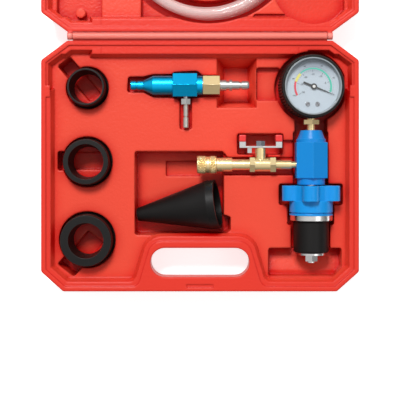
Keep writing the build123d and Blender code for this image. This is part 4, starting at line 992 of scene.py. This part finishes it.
@dataclass(frozen=True)
class Gauge:
    """The gauge's printed dial, the painted shade of its screws' slots and its ribbed boot.

    Angles are in degrees, and lengths in millimetres but for number_bold, which is in metres.
    """

    x: float = 116.0
    y: float = -52.8
    front: float = 57.0
    lean: float = 3.8
    depth: float = 37.0
    dial: float = 30.0
    hub: Spot = (1.4, -0.2)
    arc_centre: Spot = (0.8, -0.3)
    arc_radius: float = 18.7
    arc_step: float = 4.0
    arc_least: int = 6
    bands: tuple[Band, ...] = (
        Band("red", PRINT_RED, 209.0, 164.0, 1.0, 1.0), Band("yellow", PRINT_YELLOW, 164.0, 135.0, 1.7, 1.0),
        Band("green", PRINT_GREEN, 135.0, -17.0, 0.5, 0.7, 0.9),
    )
    rest_angle: float = -21.4
    sweep: float = 230.0
    ticks: tuple[Ticks, ...] = (
        Ticks(7, 14.9, 17.3, 0.2), Ticks(31, 16.1, 17.3, 0.11), Ticks(51, 20.0, 20.9, 0.1),
    )
    numbers: tuple[Numbers, ...] = (Numbers(7, 5, 12.6, 2.7, 6), Numbers(6, 20, 22.6, 2.1, 5.08))
    number_bold: float = 0.00006
    ink_low: float = 0.01
    ink_high: float = 0.06
    tick_lift: float = 0.02
    tick_thick: float = 0.04
    number_lift: float = 0.05
    screws: tuple[tuple[float, float, float], ...] = ((-4.9, -18.2, 42.0), (5.4, -18.2, 128.0))
    screw_height: float = 1.0
    slot_long: float = 2.1
    slot_wide: float = 0.35
    slot_thick: float = 0.05
    boot_radius: float = 31.5
    rib_count: int = 66
    rib_outline: tuple[Spot, ...] = (
        (-0.6, -1.15), (0.7, -0.95), (1.35, -0.45), (1.35, 0.45), (0.7, 0.95), (-0.6, 1.15),
    )
    rib_start: float = 9.0
    rib_long: float = 24.0
    rib_round: float = 0.25
    lip_profile: tuple[Spot, ...] = (
        (-3.5, 31.4), (-3.0, 32.1), (-1.2, 32.3), (-0.3, 31.8), (0.0, 31.0), (-0.1, 29.9), (-0.6, 29.45),
        (-3.5, 29.45),
    )
    lip_sides: int = 96

    def place(self, lift: float) -> Matrix:
        """Return the gauge's frame at a height above the back of its boot, its Z along the leaning axis."""
        angle = math.radians(self.lean)
        axis = Vector((math.sin(angle), 0, math.cos(angle)))
        origin = Vector((self.x, self.y, self.front)) - axis * (self.depth - lift)
        return frame_matrix(origin, (math.cos(angle), 0, -math.sin(angle)), axis)

    def arc(self, band: Band) -> Mesh:
        """Make one printed band of the scale, which may widen to its end."""
        place, span = self.place(self.dial), band.end - band.start
        steps = max(self.arc_least, int(abs(span) / self.arc_step))
        inner, outer = self.arc_radius - band.inward, self.arc_radius + band.outward
        points = []
        for step in range(steps + 1):
            angle = math.radians(band.start + span * step / steps)
            more = band.swell / 2 * step / steps
            low, high, under, over = inner - more, outer + more, self.ink_low, self.ink_high
            for radius, lift in ((low, under), (high, under), (high, over), (low, over)):
                x = self.arc_centre[0] + radius * math.cos(angle)
                y = self.arc_centre[1] + radius * math.sin(angle)
                points.append(tuple(place @ Vector((x, y, lift))))
        last = 4 * steps
        faces = quads(steps + 1, 4, False) + [(0, 1, 2, 3), (last + 3, last + 2, last + 1, last)]
        return mesh_of(band.name, points, faces, False)

    def number(self, words: str, ring: Numbers, angle: float) -> Mesh:
        """Return one flat printed number, at an angle in radians round its ring."""
        text = bpy.data.curves.new("number", "FONT")
        text.body = words
        text.size = ring.size * MM
        text.align_x, text.align_y = "CENTER", "CENTER"
        text.resolution_u = 2
        text.offset = self.number_bold
        mesh = mesh_from(put("number", text))
        x, y = self.hub[0] + ring.radius * math.cos(angle), self.hub[1] + ring.radius * math.sin(angle)
        place = self.place(self.dial)
        place.translation = (place @ Vector((x, y, self.number_lift))) * MM
        mesh.transform(place)
        return mesh

    def scale(self) -> None:
        """Print the coloured bands, the ticks and the numbers on the dial."""
        for band in self.bands:
            settle(f"dial_band_{band.name}", self.arc(band), band.finish, Body.HEAD)
        place = self.place(self.dial)
        place.translation = place @ Vector((*self.hub, self.tick_lift))
        rest, sweep = math.radians(self.rest_angle), math.radians(self.sweep)
        bars = []
        for ring in self.ticks:
            outline = bar_outline(0.0, ring.high - ring.low, ring.half)
            bar = plate_mesh("tick", outline, 0.0, self.tick_thick, Matrix.Identity(4))
            bars.append(RingOfStuds().make("ticks", bar, PRINT_BLACK, place, count=ring.count,
                                           radius=ring.low * MM, start=rest, sweep=sweep))
        digits = []
        for ring in self.numbers:
            for step in range(ring.count):
                words = f"-{ring.rise * step}" if step else "0"
                angle = math.radians(self.rest_angle + self.sweep * step / ring.spans)
                digits.append(self.number(words, ring, angle))
        settle("dial_ticks", joined("dial_ticks", bars), PRINT_BLACK, Body.HEAD)
        settle("dial_numbers", joined("dial_numbers", digits), PRINT_BLACK, Body.HEAD)

    def slots(self) -> None:
        """Paint the shade of a slot onto each dial screw with a thin dark bar."""
        bars = []
        for x, y, angle in self.screws:
            place = self.place(self.dial + self.screw_height)
            place.translation = place @ Vector((x, y, self.ink_low))
            place = place @ Matrix.Rotation(math.radians(angle), 4, "Z")
            outline = bar_outline(-self.slot_long, self.slot_long, self.slot_wide)
            bars.append(plate_mesh("slot", outline, 0.0, self.slot_thick, place))
        settle("dial_screw_slots", joined("dial_screw_slots", bars), BLACK_METAL, Body.HEAD)

    def boot(self) -> None:
        """Set the grip ribs round the rubber boot and roll a soft lip at its front rim."""
        rib = plate_mesh("rib", self.rib_outline, 0.0, self.rib_long, Matrix.Identity(4), self.rib_round)
        ribs = RingOfStuds().make(
            "boot_ribs", rib, BLACK_RUBBER, self.place(self.rib_start), count=self.rib_count,
            radius=self.boot_radius * MM, sweep=2 * math.pi * (self.rib_count - 1) / self.rib_count,
        )
        settle("boot_ribs", ribs, BLACK_RUBBER, Body.HEAD)
        lip = turned_mesh("boot_lip", self.lip_profile, self.place(self.depth), self.lip_sides)
        settle("boot_lip", lip, BLACK_RUBBER, Body.HEAD)

    def build(self) -> None:
        """Build everything on the gauge."""
        self.scale()
        self.slots()
        self.boot()


# ---- the side valve


@dataclass(frozen=True)
class QuickCoupler:
    """The brass coupler's sleeve with its two knurled bands; lengths are in millimetres."""

    x: float = 116.0
    y: float = -133.5
    height: float = 36.0
    start: float = -119.1
    end: float = -98.8
    groove: Spot = (-109.2, -106.1)
    groove_drop: float = 0.9
    lip: float = -105.4
    radius: float = 9.4
    band_drop: float = 1.0
    crest_drop: float = 0.1
    back_round: float = 0.5
    front_round: float = 0.4
    front_drop: float = 0.6
    bore: float = 6.65
    wide_bore: float = 7.35
    edge: float = 0.7
    sides: int = 64
    row_pitch: float = 1.42
    round_count: int = 21
    knurl_long: float = 1.42
    knurl_wide: float = 1.3
    knurl_sink: float = 0.1

    def place(self, along: float) -> Matrix:
        """Return a frame on the coupler's axis, its Z along +X."""
        return frame_matrix((self.x + along, self.y, self.height), (0, 0, 1), (1, 0, 0))

    def turning(self) -> Mesh:
        """Return the sleeve without its knurls."""
        edge, low, crest = self.edge, self.radius - self.band_drop, self.radius - self.crest_drop
        first, second, end, lip = (place - self.start for place in (*self.groove, self.end, self.lip))
        profile = (
            (0, self.bore), (0, self.radius - self.back_round), (self.back_round, crest), (edge, low),
            (first - edge, low), (first - edge / 2, crest), (first, self.radius - self.groove_drop),
            (second, self.radius - self.groove_drop), (second + edge / 2, crest), (second + edge, low),
            (end - edge, low), (end - self.front_round, crest), (end, self.radius - self.front_drop),
            (end, self.wide_bore), (lip, self.wide_bore), (lip, self.bore),
        )
        return turned_mesh("sleeve_turning", profile, self.place(self.start), self.sides)

    def build(self) -> None:
        """Build the sleeve and knurl both bands."""
        wide, long, foot = self.knurl_wide, self.knurl_long, -self.knurl_sink
        base = ((foot, wide, 0), (foot, 0, long), (foot, -wide, 0), (foot, 0, -long))
        faces = ((0, 1, 2), (0, 2, 3), (0, 3, 4), (0, 4, 1), (4, 3, 2, 1))
        stud = mesh_of("knurl", ((self.band_drop, 0, 0), *base), faces, False)
        bands, step = [self.turning()], 2 * math.pi / self.round_count
        for start, end in ((self.start, self.groove[0]), (self.groove[1], self.end)):
            start, end = start + self.edge, end - self.edge
            rows = round((end - start) / self.row_pitch) - 1
            bands.append(RingOfStuds().make(
                "knurl_band", stud.copy(), BRASS_KNURL, self.place(start + self.row_pitch),
                count=self.round_count, rows=rows, radius=(self.radius - self.band_drop) * MM,
                pitch=self.row_pitch * MM, sweep=step * (self.round_count - 1), stagger=step / 2,
            ))
        piece = settle("knurled_sleeve", joined("knurled_sleeve", bands), BRASS_KNURL, Body.SLEEVE)
        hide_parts("coupler_sleeve")


# ---- the CAD nodes


def dress_nodes(frame: dict) -> None:
    """Give every CAD node its finish, by its own name or else by its material slot.
    """
    slots = {part["node"]: part["material_slot"] for part in frame["record"]["subparts"]}
    for name, obj in frame["nodes"].items():
        finish = NODE_FINISH.get(name) or SLOT_FINISH[slots[name]]
        wear(obj, finish.make())
        LOG.info("dressed %s as %s", name, finish.name)


def main() -> None:
    """Build the whole kit in order and report each piece."""
    logging.basicConfig(level=logging.INFO, format="%(name)s: %(message)s")
    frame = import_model()
    stage = Stage()
    stage.camera()
    for assembly in (FillHose(), stage, Gauge(), QuickCoupler()):
        assembly.build()
    dress_nodes(frame)
    bpy.context.view_layer.update()


if __name__ == "__main__":
    main()
